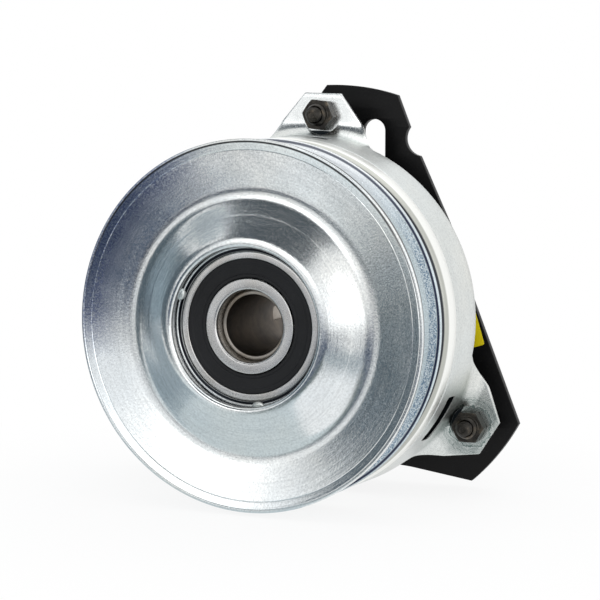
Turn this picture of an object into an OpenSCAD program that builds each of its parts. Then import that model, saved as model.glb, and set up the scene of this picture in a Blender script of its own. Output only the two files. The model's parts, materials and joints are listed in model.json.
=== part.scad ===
// Electromagnetic clutch with brake, for a belt pulley on a one inch crankshaft.
// Shaft axis along Y, pulley face toward -Y, Z up. Millimetres.
// Axial stations count from the working face of the rotor, positive toward the mounting plate.

/* [Pulley] */
// Outside diameter over the pulley rims
pulley_d = 153.6; // [140:0.2:170]
// Front rim, distance ahead of the rotor face
pulley_front = 54; // [50:0.5:60]
// Width over the two rims
pulley_w = 23.8; // [20:0.2:28]
// Sheet thickness of the pulley
pulley_t = 2.3; // [1.6:0.1:3]
// Half angle of the belt groove
groove_half_angle = 17.2; // [16:0.1:20]
// Radius at the bottom of the belt groove
groove_r = 56; // [52:0.5:60]
// Radius of the bright valley ring on the front face
valley_r = 54.2; // [52:0.2:57]
// Height of the bearing boss ahead of the rotor face
boss_front = 56.4; // [55:0.2:60]
// Slope of the bell between valley and boss
bell_slope = 28.5; // [24:0.5:34]
// Number of staking marks that hold the bearing
stake_count = 3; // [2:1:4]

/* [Bearings] */
// Outside diameter of both ball bearings
bearing_od = 62; // [52:1:72]
// Bore of both ball bearings
bearing_id = 30; // [25:1:35]
// Width of both ball bearings
bearing_w = 16; // [12:1:18]
// Balls in each bearing
ball_count = 9; // [7:1:10]
// Ball radius
ball_r = 4.6; // [4:0.1:4.7]
// Front face of the pulley bearing ahead of the rotor face
front_bearing_z = -50; // [-52:0.5:-46]
// Front face of the field bearing behind the rotor face
rear_bearing_z = 25; // [22:0.5:27]

/* [Rotor] */
// Diameter of the crankshaft bore
bore_d = 25.4; // [22:0.1:28]
// Width of the keyway
key_w = 6.35; // [5:0.05:8]
// Front end of the hub ahead of the rotor face
hub_front = 44.9; // [43:0.1:48]
// Rear end of the hub behind the rotor face
hub_rear = 44; // [43:0.5:48]
// Radius of the rotor disc
rotor_r = 68; // [64:0.5:70]
// Thickness of the rotor disc
rotor_t = 7.5; // [6:0.5:9]
// Flux slots in each ring of the rotor
flux_slots = 6; // [4:1:8]

/* [Armature] */
// Radius of the armature disc
armature_r = 68.5; // [64:0.5:70]
// Thickness of the armature disc
armature_t = 6.5; // [5:0.5:8]
// Air gap between armature and rotor with the coil off
air_gap = 0.5; // [0.3:0.05:0.6]
// Leaf springs between pulley and armature
leaf_count = 3; // [3:1:4]

/* [Brake drum] */
// Outer radius of the drum just behind its front corner
drum_front_r = 77; // [74:0.1:80]
// Outer radius of the drum at its rear edge
drum_rear_r = 78.3; // [75:0.1:81]
// Front face of the drum ahead of the rotor face
drum_front = 24; // [20:0.5:27]
// Rear edge of the drum behind the rotor face
drum_rear = 9; // [6:0.5:12]
// Sheet thickness of the drum
drum_t = 2.5; // [2:0.1:3]
// Front plane of the three ears behind the rotor face
ear_z = 18; // [15:0.5:21]
// Width of an ear at its outer edge
ear_tip_w = 16.4; // [14:0.2:24]
// Width of an ear where it meets the drum
ear_base_w = 57; // [46:0.5:60]
// Distance of the ear's outer edge from the axis
ear_tip_r = 96.8; // [92:0.2:99]
// Clocking of the three ears about the axis, from straight up
ear_clock = -2.4; // [-10:0.1:10]
// Width of a feeler window along the drum
window_w = 23; // [16:0.5:28]
// Depth of a feeler window along the axis
window_d = 8.5; // [4:0.5:10]

/* [Adjusters] */
// Stud circle radius
stud_pcr = 87.2; // [84:0.1:89]
// Stud diameter
stud_d = 6.35; // [5:0.05:8]
// Front end of a stud behind the rotor face
stud_tip = 5.8; // [2:0.1:7]
// Width of an adjusting nut across its flats
nut_af = 12.7; // [10:0.1:14]
// Height of the hexagon of an adjusting nut
nut_h = 5.2; // [4:0.1:8]
// Wire diameter of a stud spring
spring_wire = 1.8; // [1.4:0.1:2.2]
// Mean coil radius of a stud spring
spring_r = 6.2; // [5.6:0.1:7]
// Turns of a stud spring
spring_turns = 4; // [3:1:5]

/* [Field and plate] */
// Front face of the mounting plate behind the rotor face
plate_z = 39; // [36:0.5:44]
// Thickness of the mounting plate
plate_t = 3.4; // [2.5:0.1:4]
// Distance of the plate's straight sides from the axis
plate_apothem = 64.6; // [62:0.2:68]
// Radius of the plate's rounded sides
plate_bulge_r = 67.2; // [66:0.1:70]
// Radius of the plate's three corner arcs
plate_tip_r = 101; // [96:0.5:104]
// Clocking of the plate's lobes about the axis, from straight up
plate_clock = -8.3; // [-15:0.1:15]
// Width of the anti-rotation slot
slot_w = 10.5; // [8:0.1:12]
// Length of the anti-rotation slot between its end centres
slot_len = 15.5; // [10:0.5:18]
// Outer radius of the field shell
field_r = 57; // [54:0.5:60]

/* [Part shown] */
// Sub-part to build, or all of them

/* [Hidden] */
$fn = 96;
rim_r = pulley_d/2;
groove_tan = tan(groove_half_angle);
bore_r = bore_d/2;
race_in = bearing_id/2;
race_out = bearing_od/2;
ball_pcr = (race_in + race_out)/2;
inner_shoulder = 19.7;
outer_shoulder = 26.6;
race_chamfer = 1.1;
seal_in = 20;
seal_out = 28;
ball_track = ball_r + 0.2;
cage_in = 21.7;
cage_out = 24.3;
cage_half = 5.7;
front_bearing_mid = front_bearing_z + bearing_w/2;
rear_bearing_mid = rear_bearing_z + bearing_w/2;
rear_bearing_end = rear_bearing_z + bearing_w;
lip_r = rim_r*0.969;
lip_rise = 0.45;
tube_r = 36.2;
tube_rear = -31.8;
recess_r = 32.7;
seat_lip_r = 28.6;
stake_first = 38;
web_front = -38.5;
drive_front = web_front + pulley_t;
drive_t = 2.5;
drive_tube_r = 44.5;
drive_rear = -11.5;
drive_rivet_r = 48.2;
leaf_z = -11.3;
leaf_t = 0.6;
leaf_pcr = 34;
leaf_span = 75;
hub_r = 18;
rotor_pole_rear = 20;
pole_in = [24, 29.6];
pole_out = [59, 64];
facing_in = 49.5;
facing_out = 55.5;
facing_t = 2.5;
armature_rear = -air_gap;
armature_front = -air_gap - armature_t;
armature_in = 26;
lining_rear = armature_front - 0.2;
lining_t = 3;
lining_in = 49;
lining_out = 62;
brake_rear = lining_rear - lining_t;
brake_front = brake_rear - drum_t;
brake_hole = 47;
ear_bend = 6;
ear_neck_r = drum_rear_r + ear_bend;
ear_neck_w = 35.6;
window_mid = -0.3;
spot_r = 8.8;
stud_r = stud_d/2;
nut_gap = 0.1;
nut_crown_h = 2.6;
nut_crown_r = 4.75;
stud_angles = [90 + ear_clock, 210 + ear_clock, 330 + ear_clock];
nut_turn = [7, 0, 0];
plate_rear = plate_z + plate_t;
shell_front = 10.5;
shell_in = 37;
field_wall = 5.5;
field_rivet_r = 47;
connector_r = 78;
connector_z = [24, 37];
connector_half = 10;

// Puts local Z on the shaft axis and local X at the given angle, counted from X toward Z.
module place(a = 0) {
  rotate([-90, 0, 0])
    rotate([0, 0, -a])
      children();
}

module spin(points) {
  place()
    rotate_extrude()
      polygon(points);
}

module ring(r_in, r_out, z_a, z_b) {
  spin([[r_in, z_a], [r_out, z_a], [r_out, z_b], [r_in, z_b]]);
}

module pin(a, at_r, r, z_a, z_b) {
  place(a)
    translate([at_r, 0, z_a])
      cylinder(r = r, h = z_b - z_a);
}

// Points of an arc about a centre, angles counted from the radial direction toward the rear.
function arc(c, r, from, to, n) =
  [for (i = [0:n]) let (a = from + (to - from)*i/n) c + r*[cos(a), sin(a)]];

// Pulley

flank_top = -pulley_front + lip_rise;
valley_fillet = 11.7;
flank_low = valley_r + valley_fillet*sin(groove_half_angle);
flank_low_z = flank_top + (lip_r - flank_low)*groove_tan;
valley_z = flank_low_z + valley_fillet*(1 - cos(groove_half_angle));
bell_low = 8;
bell_high = 7;
crest_r = recess_r + 1.8;

module pulley_front_sheet() {
  face = concat(
    [[rim_r, -pulley_front + 0.5], [rim_r - 0.5, -pulley_front], [lip_r + 0.4, flank_top - 0.1],
      [lip_r - 0.4, flank_top + 0.15]],
    arc([valley_r, valley_z - valley_fillet], valley_fillet, 90 - groove_half_angle, 90, 4),
    arc([valley_r, valley_z - bell_low], bell_low, 94, 90 + bell_slope, 5),
    arc([crest_r, bell_high - boss_front], bell_high, bell_slope - 90 + 0, -90, 5),
    arc([crest_r, 1.8 - boss_front], 1.8, -108, -180, 4));
  back = [[recess_r, front_bearing_z - 0.6], [race_out, front_bearing_z - 0.6],
    [race_out, front_bearing_z + bearing_w], [seat_lip_r, front_bearing_z + bearing_w],
    [seat_lip_r, tube_rear], [tube_r, tube_rear], [tube_r, -51.6], [37.6, -52.4],
    [valley_r - 5.2, valley_z + 1.1], [valley_r - 2.4, valley_z + 2.1],
    [valley_r, valley_z + pulley_t], [flank_low + 0.7, flank_low_z + 2.2],
    [lip_r + 0.3, flank_top + 2.3], [rim_r - 0.4, pulley_t - pulley_front],
    [rim_r, pulley_t - pulley_front - 0.4]];
  color([0.86, 0.88, 0.9])
    union() {
      spin(concat(face, back));
      for (i = [0:stake_count - 1])
        place(stake_first + 360*i/stake_count)
          translate([race_out + 1.4, 0, front_bearing_z - 1.3])
            sphere(r = 1.25, $fn = 24);
    }
}

module pulley_rear_sheet() {
  rim_z = pulley_w - pulley_front - pulley_t;
  foot_z = rim_z - lip_rise - (lip_r - flank_low)*groove_tan;
  color([0.84, 0.86, 0.89])
    spin(concat(
      [[rim_r - 0.4, rim_z], [rim_r + 0.1, rim_z + 0.5], [rim_r + 0.1, rim_z + pulley_t - 0.4],
        [rim_r - 0.3, rim_z + pulley_t], [lip_r - 0.7, rim_z + pulley_t - lip_rise],
        [flank_low - 0.75, foot_z + 2.17], [groove_r - 1.5, web_front + pulley_t],
        [tube_r, web_front + pulley_t], [tube_r, web_front], [groove_r - pulley_t, web_front],
        [groove_r - pulley_t, valley_z + pulley_t + 0.2], [groove_r, valley_z + pulley_t + 0.3]],
      arc([groove_r + 2.2, foot_z - 2.2], 2.2, 180, 108, 4),
      [[lip_r - 0.2, rim_z - lip_rise]]));
}

module race_outer(mid) {
  h = bearing_w/2;
  place()
    rotate_extrude()
      difference() {
        polygon([[outer_shoulder, mid - 6.2], [seal_out, mid - 6.2], [seal_out, mid - h],
          [race_out - 0.6, mid - h], [race_out, mid - h + 0.6], [race_out, mid + h - 0.6],
          [race_out - 0.6, mid + h], [seal_out, mid + h], [seal_out, mid + 6.2],
          [outer_shoulder, mid + 6.2]]);
        translate([ball_pcr, mid])
          circle(r = ball_track);
      }
}

module race_inner(mid) {
  h = bearing_w/2;
  c = race_chamfer;
  place()
    rotate_extrude()
      difference() {
        polygon([[race_in, mid - h + c], [race_in + c, mid - h], [inner_shoulder, mid - h],
          [inner_shoulder, mid + h], [race_in + c, mid + h], [race_in, mid + h - c]]);
        translate([ball_pcr, mid])
          circle(r = ball_track);
      }
}

module seals(mid) {
  for (s = [-1, 1])
    spin([[seal_in, mid + s*7.65], [seal_in + 0.8, mid + s*7.45], [seal_out - 1.4, mid + s*7.75],
      [seal_out, mid + s*7.55], [seal_out, mid + s*6.7], [seal_in, mid + s*6.9]]);
}

module balls(mid) {
  for (i = [0:ball_count - 1])
    place(360*i/ball_count)
      translate([ball_pcr, 0, mid])
        sphere(r = ball_r, $fn = 32);
}

module cage(mid) {
  difference() {
    ring(cage_in, cage_out, mid - cage_half, mid + cage_half);
    for (i = [0:ball_count - 1])
      place(360*i/ball_count)
        translate([0, 0, mid])
          rotate([0, 90, 0])
            cylinder(r = ball_r + 0.3, h = race_out);
  }
}

module front_bearing_outer() color([0.7, 0.7, 0.69]) race_outer(front_bearing_mid);
module front_bearing_inner() color([0.7, 0.7, 0.69]) race_inner(front_bearing_mid);
module front_bearing_seals() color([0.09, 0.09, 0.1]) seals(front_bearing_mid);
module front_balls() color([0.75, 0.76, 0.78]) balls(front_bearing_mid);
module front_cage() color([0.6, 0.55, 0.42]) cage(front_bearing_mid);
module rear_bearing_outer() color([0.7, 0.7, 0.69]) race_outer(rear_bearing_mid);
module rear_bearing_inner() color([0.7, 0.7, 0.69]) race_inner(rear_bearing_mid);
module rear_bearing_seals() color([0.09, 0.09, 0.1]) seals(rear_bearing_mid);
module rear_balls() color([0.75, 0.76, 0.78]) balls(rear_bearing_mid);
module rear_cage() color([0.6, 0.55, 0.42]) cage(rear_bearing_mid);

module drive_plate() {
  t = drive_t;
  color([0.72, 0.73, 0.75])
    difference() {
      spin([[tube_r + 0.6, drive_front], [53, drive_front], [53, drive_front + t],
        [drive_tube_r, drive_front + t], [drive_tube_r, drive_rear], [24, drive_rear],
        [24, drive_rear - t], [drive_tube_r - t, drive_rear - t],
        [drive_tube_r - t, drive_front + t], [tube_r + 0.6, drive_front + t]]);
      for (i = [0:leaf_count - 1]) {
        pin(360*i/leaf_count, leaf_pcr, 2.5, drive_rear - t - 1, drive_rear + 1);
        pin(360*i/leaf_count + leaf_span, leaf_pcr, 6.5, drive_rear - t - 1, drive_rear + 1);
      }
      for (i = [0:5])
        pin(60*i + 30, drive_rivet_r, 2, drive_front - 1, drive_front + t + 1);
    }
}

module drive_rivets() {
  color([0.62, 0.63, 0.65])
    for (i = [0:5]) {
      pin(60*i + 30, drive_rivet_r, 2, drive_front, drive_front + drive_t);
      pin(60*i + 30, drive_rivet_r, 3.4, drive_front + drive_t, drive_front + drive_t + 1.6);
    }
}

module leaf_springs() {
  a = leaf_pcr*[cos(leaf_span), -sin(leaf_span)];
  long = norm(a - [leaf_pcr, 0]);
  color([0.5, 0.53, 0.58])
    for (i = [0:leaf_count - 1])
      place(360*i/leaf_count)
        translate([leaf_pcr, 0, leaf_z])
          rotate([0, 0, -90 - leaf_span/2])
            linear_extrude(leaf_t)
              difference() {
                union() {
                  circle(r = 5);
                  translate([long, 0])
                    circle(r = 5);
                  translate([0, -5])
                    square([long, 10]);
                }
                circle(r = 2.5);
                translate([long, 0])
                  circle(r = 2.8);
              }
}

module leaf_rivets() {
  color([0.62, 0.63, 0.65])
    for (i = [0:leaf_count - 1]) {
      pin(360*i/leaf_count, leaf_pcr, 2.5, drive_rear - drive_t, leaf_z + leaf_t);
      pin(360*i/leaf_count, leaf_pcr, 4, leaf_z + leaf_t, leaf_z + leaf_t + 1.5);
      pin(360*i/leaf_count, leaf_pcr, 4, drive_rear - drive_t - 1.5, drive_rear - drive_t);
    }
}

// Armature and brake

module armature_disc() {
  color([0.55, 0.56, 0.58])
    difference() {
      spin([[armature_in, armature_front], [armature_r - 0.6, armature_front],
        [armature_r, armature_front + 0.6], [armature_r, armature_rear], [armature_in, armature_rear]]);
      for (i = [0:leaf_count - 1])
        pin(360*i/leaf_count + leaf_span, leaf_pcr, 2.5, armature_front - 1, armature_rear - 1);
      for (i = [0:5])
        place(60*i)
          translate([0, 0, armature_front - 1])
            rotate_extrude(angle = 44)
              translate([46, 0])
                square([3, armature_t + 2]);
    }
}

module armature_rivets() {
  color([0.62, 0.63, 0.65])
    for (i = [0:leaf_count - 1]) {
      pin(360*i/leaf_count + leaf_span, leaf_pcr, 2.5, leaf_z - 0.2, armature_rear - 1);
      pin(360*i/leaf_count + leaf_span, leaf_pcr, 4.2, leaf_z - 1.8, leaf_z - 0.2);
      pin(360*i/leaf_count + leaf_span, leaf_pcr, 4.2, leaf_z + leaf_t + 0.1, armature_front);
    }
}

module drum_shell() {
  c = 5;
  f = -drum_front;
  t = drum_t;
  spin(concat(
    [[drum_rear_r, drum_rear - 0.6]],
    arc([drum_front_r - c, f + c], c, 0, -90, 8),
    [[68.5, f], [66.6, f + 1.2], [64, brake_front - 1.5], [62.5, brake_front],
      [brake_hole, brake_front], [brake_hole, brake_rear], [63.6, brake_rear], [65.6, brake_rear - 1.2],
      [68.9, f + 3.4], [70.2, f + t]],
    arc([drum_front_r - c, f + c], c - t, -90, 0, 5),
    [[drum_rear_r - t, drum_rear], [drum_rear_r - 0.6, drum_rear]]));
}

module ear(a) {
  b = drum_rear_r;
  t = drum_t;
  place(a)
    intersection() {
      rotate_extrude()
        polygon(concat(
          [[b - t - 0.2, 3], [b - 0.4, 3], [b - 0.05, ear_z - ear_bend]],
          arc([b + ear_bend, ear_z - ear_bend], ear_bend, 172, 90, 8),
          [[plate_tip_r, ear_z], [plate_tip_r, ear_z + t], [b + 1, ear_z + t]],
          arc([b + 1, ear_z + t - 3.5], 3.5, 100, 180, 4)));
      linear_extrude(ear_z + t + 2)
        polygon([[60, -ear_base_w/2], [72.8, -ear_base_w/2], [76, -ear_base_w/2 + 4.9],
          [ear_neck_r, -ear_neck_w/2], [ear_tip_r, -ear_tip_w/2], [ear_tip_r, ear_tip_w/2],
          [ear_neck_r, ear_neck_w/2], [76, ear_base_w/2 - 4.9], [72.8, ear_base_w/2],
          [60, ear_base_w/2]]);
    }
}

module brake_drum() {
  color([0.9, 0.9, 0.88])
    difference() {
      union() {
        drum_shell();
        for (a = stud_angles)
          ear(a);
      }
      for (a = stud_angles) {
        pin(a, stud_pcr, stud_r + 0.4, ear_z - 2, ear_z + drum_t + 1);
        pin(a, stud_pcr, spot_r, ear_z - 12, ear_z);
        place(a)
          translate([60, -window_w/2, window_mid - window_d/2])
            cube([30, window_w, window_d]);
      }
      for (i = [0:5])
        pin(60*i + 30, 55.5, 1.6, brake_front - 1, brake_rear + 1);
    }
}

module brake_lining() {
  color([0.3, 0.26, 0.22])
    difference() {
      ring(lining_in, lining_out, brake_rear, lining_rear);
      for (i = [0:5])
        pin(60*i + 30, 55.5, 1.6, brake_rear - 1, lining_rear + 1);
    }
}

module lining_rivets() {
  color([0.72, 0.58, 0.32])
    for (i = [0:5]) {
      pin(60*i + 30, 55.5, 1.6, brake_front, lining_rear - 1);
      pin(60*i + 30, 55.5, 3, brake_front - 1.2, brake_front);
    }
}

module adjust_nut(i) {
  corner = nut_af/2/cos(30);
  seat = ear_z - nut_gap;
  face = seat - nut_h;
  color([0.2, 0.18, 0.16])
    place(stud_angles[i])
      translate([stud_pcr, 0, 0])
        difference() {
          union() {
            intersection() {
              rotate([0, 0, stud_angles[i] + nut_turn[i]])
                translate([0, 0, face])
                  cylinder(r = corner, h = nut_h, $fn = 6);
              rotate_extrude()
                polygon([[0, face], [nut_af/2 + 0.2, face], [corner + 0.1, face + 0.6],
                  [corner + 0.1, seat - 0.5], [nut_af/2 + 0.2, seat], [0, seat]]);
            }
            rotate_extrude()
              polygon([[0, face + 1], [nut_crown_r, face + 1], [nut_crown_r, face - nut_crown_h + 0.9],
                [nut_crown_r - 0.7, face - nut_crown_h], [0, face - nut_crown_h]]);
          }
          translate([0, 0, stud_tip])
            cylinder(r = stud_r + 0.075, h = 30);
        }
}

module adjust_nut_a() adjust_nut(0);
module adjust_nut_b() adjust_nut(1);
module adjust_nut_c() adjust_nut(2);

module adjuster_studs() {
  color([0.22, 0.2, 0.18])
    for (a = stud_angles)
      place(a)
        translate([stud_pcr, 0, 0])
          rotate_extrude()
            polygon([[0, stud_tip], [2.1, stud_tip], [2.2, stud_tip + 0.9], [stud_r, stud_tip + 1.7],
              [stud_r, plate_z - 1.5], [4.4, plate_z - 1.5], [4.4, plate_z], [stud_r, plate_z],
              [stud_r, plate_rear], [5.4, plate_rear], [4.8, plate_rear + 1.8], [0, plate_rear + 1.8]]);
}

// Stud springs: the wire leaves each seat square to it, bends into the helix and winds up.

coil_base = ear_z + drum_t + 0.3;
coil_top = plate_z;
coil_bend = 1.6;
coil_straight = spring_wire;
coil_free = coil_top - coil_base - 2*coil_straight;
coil_rise = (coil_free - 2*coil_bend)/spring_turns;
coil_lead = atan(coil_rise/(2*PI*spring_r));
rings_per_turn = 8;
bend_rings = 4;
wire_sides = 6;
bend_s = coil_bend*(1 - sin(coil_lead));
bend_z = coil_bend*cos(coil_lead);
wound_z = coil_free - 2*bend_z;
wound_s = wound_z/tan(coil_lead);
wound_rings = rings_per_turn*spring_turns;
coil_path = concat(
  [[0, 0]],
  [for (i = [0:bend_rings]) let (p = (90 - coil_lead)*i/bend_rings)
    [coil_bend*(1 - cos(p)), coil_straight + coil_bend*sin(p)]],
  [for (i = [1:wound_rings - 1])
    [bend_s + wound_s*i/wound_rings, coil_straight + bend_z + wound_z*i/wound_rings]],
  [for (i = [0:bend_rings]) let (p = (90 - coil_lead)*(1 - i/bend_rings))
    [bend_s + wound_s + bend_s - coil_bend*(1 - cos(p)),
      coil_straight + 2*bend_z + wound_z - coil_bend*sin(p)]],
  [[2*bend_s + wound_s, coil_free + 2*coil_straight]]);
coil_n = len(coil_path);
function coil_at(i) = let (a = coil_path[i][0]/spring_r*180/PI)
  [spring_r*cos(a), spring_r*sin(a), coil_base + coil_path[i][1]];
coil_points = [for (i = [0:coil_n - 1]) coil_at(i)];
function unit(v) = v/norm(v);
function coil_dir(i) = i == 0 || i == coil_n - 1 ? [0, 0, 1]
  : unit(unit(coil_points[i + 1] - coil_points[i]) + unit(coil_points[i] - coil_points[i - 1]));
function coil_ring(i) = let (p = coil_points[i], t = coil_dir(i), out = unit([p[0], p[1], 0]),
    n = unit(out - (out*t)*t), b = cross(t, n))
  [for (k = [0:wire_sides - 1]) p + spring_wire/2*(cos(360*k/wire_sides)*n + sin(360*k/wire_sides)*b)];
coil_verts = concat([for (i = [0:coil_n - 1]) each coil_ring(i)],
  [coil_points[0], coil_points[coil_n - 1]]);
function coil_v(i, k) = i*wire_sides + k%wire_sides;
coil_faces = concat(
  [for (i = [0:coil_n - 2]) for (k = [0:wire_sides - 1])
    each [[coil_v(i, k), coil_v(i + 1, k), coil_v(i + 1, k + 1)],
      [coil_v(i, k), coil_v(i + 1, k + 1), coil_v(i, k + 1)]]],
  [for (k = [0:wire_sides - 1]) [coil_n*wire_sides, coil_v(0, k), coil_v(0, k + 1)]],
  [for (k = [0:wire_sides - 1])
    [coil_n*wire_sides + 1, coil_v(coil_n - 1, k + 1), coil_v(coil_n - 1, k)]]);
coil_gap = min([for (i = [0:coil_n - 1]) for (j = [i + rings_per_turn - 1:coil_n - 1])
  norm(coil_points[i] - coil_points[j])]) - spring_wire;
echo(spring_self_gap = coil_gap);

module adjuster_springs() {
  color([0.45, 0.46, 0.48])
    for (a = stud_angles)
      place(a)
        translate([stud_pcr, 0, 0])
          polyhedron(points = coil_verts, faces = coil_faces, convexity = 6);
}

// Rotor

module rotor_hub() {
  f = -hub_front;
  color([0.5, 0.47, 0.43])
    difference() {
      spin([[bore_r + 0.6, f], [14, f], [race_in, f + 1.2], [race_in, front_bearing_z + bearing_w],
        [hub_r, front_bearing_z + bearing_w], [hub_r, rear_bearing_z], [race_in, rear_bearing_z],
        [race_in, rear_bearing_end], [14, rear_bearing_end], [14, rear_bearing_end + 1.2],
        [race_in, rear_bearing_end + 1.2], [race_in, hub_rear - 0.8], [race_in - 0.8, hub_rear],
        [bore_r + 0.8, hub_rear], [bore_r, hub_rear - 0.8], [bore_r, f + 0.6]]);
      place(180)
        translate([0, -key_w/2, 2])
          cube([bore_r + 1.9, key_w, hub_rear]);
    }
}

module rotor_disc() {
  color([0.56, 0.56, 0.57])
    difference() {
      union() {
        spin([[hub_r, 0], [facing_in, 0], [facing_in, facing_t], [facing_out, facing_t],
          [facing_out, 0], [rotor_r, 0], [rotor_r, rotor_t], [pole_out[1], rotor_t],
          [pole_out[1], rotor_pole_rear], [pole_out[0], rotor_pole_rear], [pole_out[0], rotor_t],
          [pole_in[1], rotor_t], [pole_in[1], rotor_pole_rear], [pole_in[0], rotor_pole_rear],
          [pole_in[0], rotor_t], [hub_r, rotor_t]]);
      }
      for (i = [0:flux_slots - 1], r = [34, 44])
        place(360*i/flux_slots + (r > 40 ? 30 : 0))
          translate([0, 0, -1])
            rotate_extrude(angle = 42)
              translate([r, 0])
                square([2.6, rotor_t + 2]);
    }
}

module friction_ring() {
  color([0.33, 0.29, 0.25]) ring(facing_in, facing_out, 0, facing_t);
}

module hub_snap_ring() {
  color([0.18, 0.18, 0.19])
    difference() {
      ring(14, 17.6, rear_bearing_end, rear_bearing_end + 1.2);
      place(90)
        translate([10, -2.5, rear_bearing_end - 1])
          cube([10, 5, 4]);
    }
}

// Field

module field_shell() {
  color([0.3, 0.3, 0.31])
    difference() {
      spin([[race_out, shell_front + 4], [shell_in, shell_front], [shell_in, plate_z - 6],
        [field_r - field_wall, plate_z - 6], [field_r - field_wall, shell_front],
        [field_r, shell_front], [field_r, plate_z], [shell_in, plate_z], [shell_in, plate_rear + 1],
        [race_out + 0.4, plate_rear + 1], [race_out + 0.4, rear_bearing_end + 1.2],
        [race_out + 1.2, rear_bearing_end + 1.2], [race_out + 1.2, rear_bearing_end],
        [race_out, rear_bearing_end], [race_out, rear_bearing_z], [29.4, rear_bearing_z],
        [29.4, rear_bearing_z - 3], [race_out, rear_bearing_z - 3]]);
      for (i = [0:5])
        pin(60*i + 30, field_rivet_r, 2.5, plate_z - 7, plate_z + 1);
    }
}

module coil_bobbin() {
  color([0.16, 0.16, 0.17])
    spin([[shell_in, 12.6], [51.2, 12.6], [51.2, 14], [39, 14], [39, 31.4], [51.2, 31.4], [51.2, 32.8],
      [shell_in, 32.8]]);
}

module coil_winding() {
  color([0.62, 0.32, 0.14]) ring(39, 50.6, 14, 31.4);
}

module coil_potting() {
  color([0.12, 0.12, 0.12]) ring(shell_in, field_r - field_wall, 10.8, 12.5);
}

module plate_rivets() {
  color([0.13, 0.13, 0.13])
    for (i = [0:5])
      place(60*i + 30)
        translate([field_rivet_r, 0, 0])
          rotate_extrude()
            polygon([[0, plate_z - 6], [2.5, plate_z - 6], [2.5, plate_rear], [4.5, plate_rear],
              [3.6, plate_rear + 1.5], [0, plate_rear + 1.8]]);
}

module rear_retainer() {
  color([0.18, 0.18, 0.19])
    difference() {
      ring(28.4, race_out + 1.2, rear_bearing_end, rear_bearing_end + 1.2);
      place(270)
        translate([20, -4, rear_bearing_end - 1])
          cube([20, 8, 4]);
    }
}

plate_side = [[2*plate_apothem, 0], [80.8, 23.1], [67, 56.8], [plate_apothem/cos(16), 76]];

module plate_outline() {
  union() {
    intersection() {
      polygon([for (i = [0:11]) let (p = plate_side[i % 4], a = 120*floor(i/4) + p[1]) p[0]*[cos(a), sin(a)]]);
      circle(r = plate_tip_r);
    }
    circle(r = plate_bulge_r);
  }
}

slot_x = 20.35;
slot_top = 80.25;
notch_r = 88.2;
notch_turn = 21;
notch_size = 7.9;

module field_plate() {
  color([0.06, 0.06, 0.06])
    difference() {
      place(90 + plate_clock)
        translate([0, 0, plate_z])
          linear_extrude(plate_t)
            difference() {
              plate_outline();
              circle(r = shell_in);
              rotate(notch_turn)
                translate([notch_r, 0])
                  circle(r = notch_size);
            }
      place(90)
        translate([0, slot_x, plate_z - 1])
          linear_extrude(plate_t + 2)
            union() {
              translate([slot_top, 0])
                circle(r = slot_w/2);
              translate([slot_top - slot_len, 0])
                circle(r = slot_w/2);
              translate([slot_top - slot_len, -slot_w/2])
                square([slot_len, slot_w]);
            }
      for (a = stud_angles)
        pin(a, stud_pcr, stud_r, plate_z - 1, plate_rear + 1);
      for (i = [0:5])
        pin(60*i + 30, field_rivet_r, 2.5, plate_z - 1, plate_rear + 1);
    }
}

label_corner = [73, -13.7];
label_tilt = 17;
label_size = [22, 9];

module plate_label() {
  color([0.95, 0.82, 0.02])
    place(90)
      translate([label_corner[1], label_corner[0], plate_z - 0.2])
        rotate([0, 0, -label_tilt])
          translate([0, -label_size[1], 0])
            cube([label_size[0], label_size[1], 0.2]);
}

module connector_housing() {
  z = connector_z;
  h = connector_half;
  color([0.1, 0.1, 0.11])
    difference() {
      place(180)
        translate([field_r - 6, -h, z[0]])
          cube([connector_r - field_r + 6, 2*h, z[1] - z[0]]);
      ring(0.01, field_r, z[0] - 1, z[1] + 1);
      place(180)
        translate([connector_r - 14, -h + 2, z[0] + 2])
          cube([15, 2*h - 4, z[1] - z[0] - 4]);
      for (s = [-4, 4])
        place(180)
          translate([connector_r - 17, s - 0.4, (z[0] + z[1])/2 - 2.4])
            cube([4, 0.8, 4.8]);
    }
}

module connector_terminals() {
  z = connector_z;
  color([0.8, 0.7, 0.45])
    for (s = [-4, 4])
      place(180)
        translate([connector_r - 17, s - 0.4, (z[0] + z[1])/2 - 2.4])
          cube([10, 0.8, 4.8]);
}

field_plate();
plate_label();
field_shell();
coil_bobbin();
coil_winding();
coil_potting();
plate_rivets();
rear_bearing_outer();
rear_bearing_seals();
rear_retainer();
adjuster_studs();
adjuster_springs();
connector_housing();
connector_terminals();
rotor_hub();
rotor_disc();
friction_ring();
front_bearing_inner();
rear_bearing_inner();
hub_snap_ring();
front_cage();
front_balls();
rear_cage();
rear_balls();
pulley_front_sheet();
pulley_rear_sheet();
front_bearing_outer();
front_bearing_seals();
drive_plate();
drive_rivets();
leaf_springs();
leaf_rivets();
armature_disc();
armature_rivets();
brake_drum();
brake_lining();
lining_rivets();
adjust_nut_a();
adjust_nut_b();
adjust_nut_c();
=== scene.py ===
"""Looks of an electromagnetic clutch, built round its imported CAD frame.

The shaft axis lies along Y, the pulley faces -Y and Z is up. Sizes are written in millimetres
and become metres when a mesh is made. An outline is a list of (radius, y, fillet) corners.
"""

import json
import math

import bmesh
import bpy
from mathutils import Matrix, Vector

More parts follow.
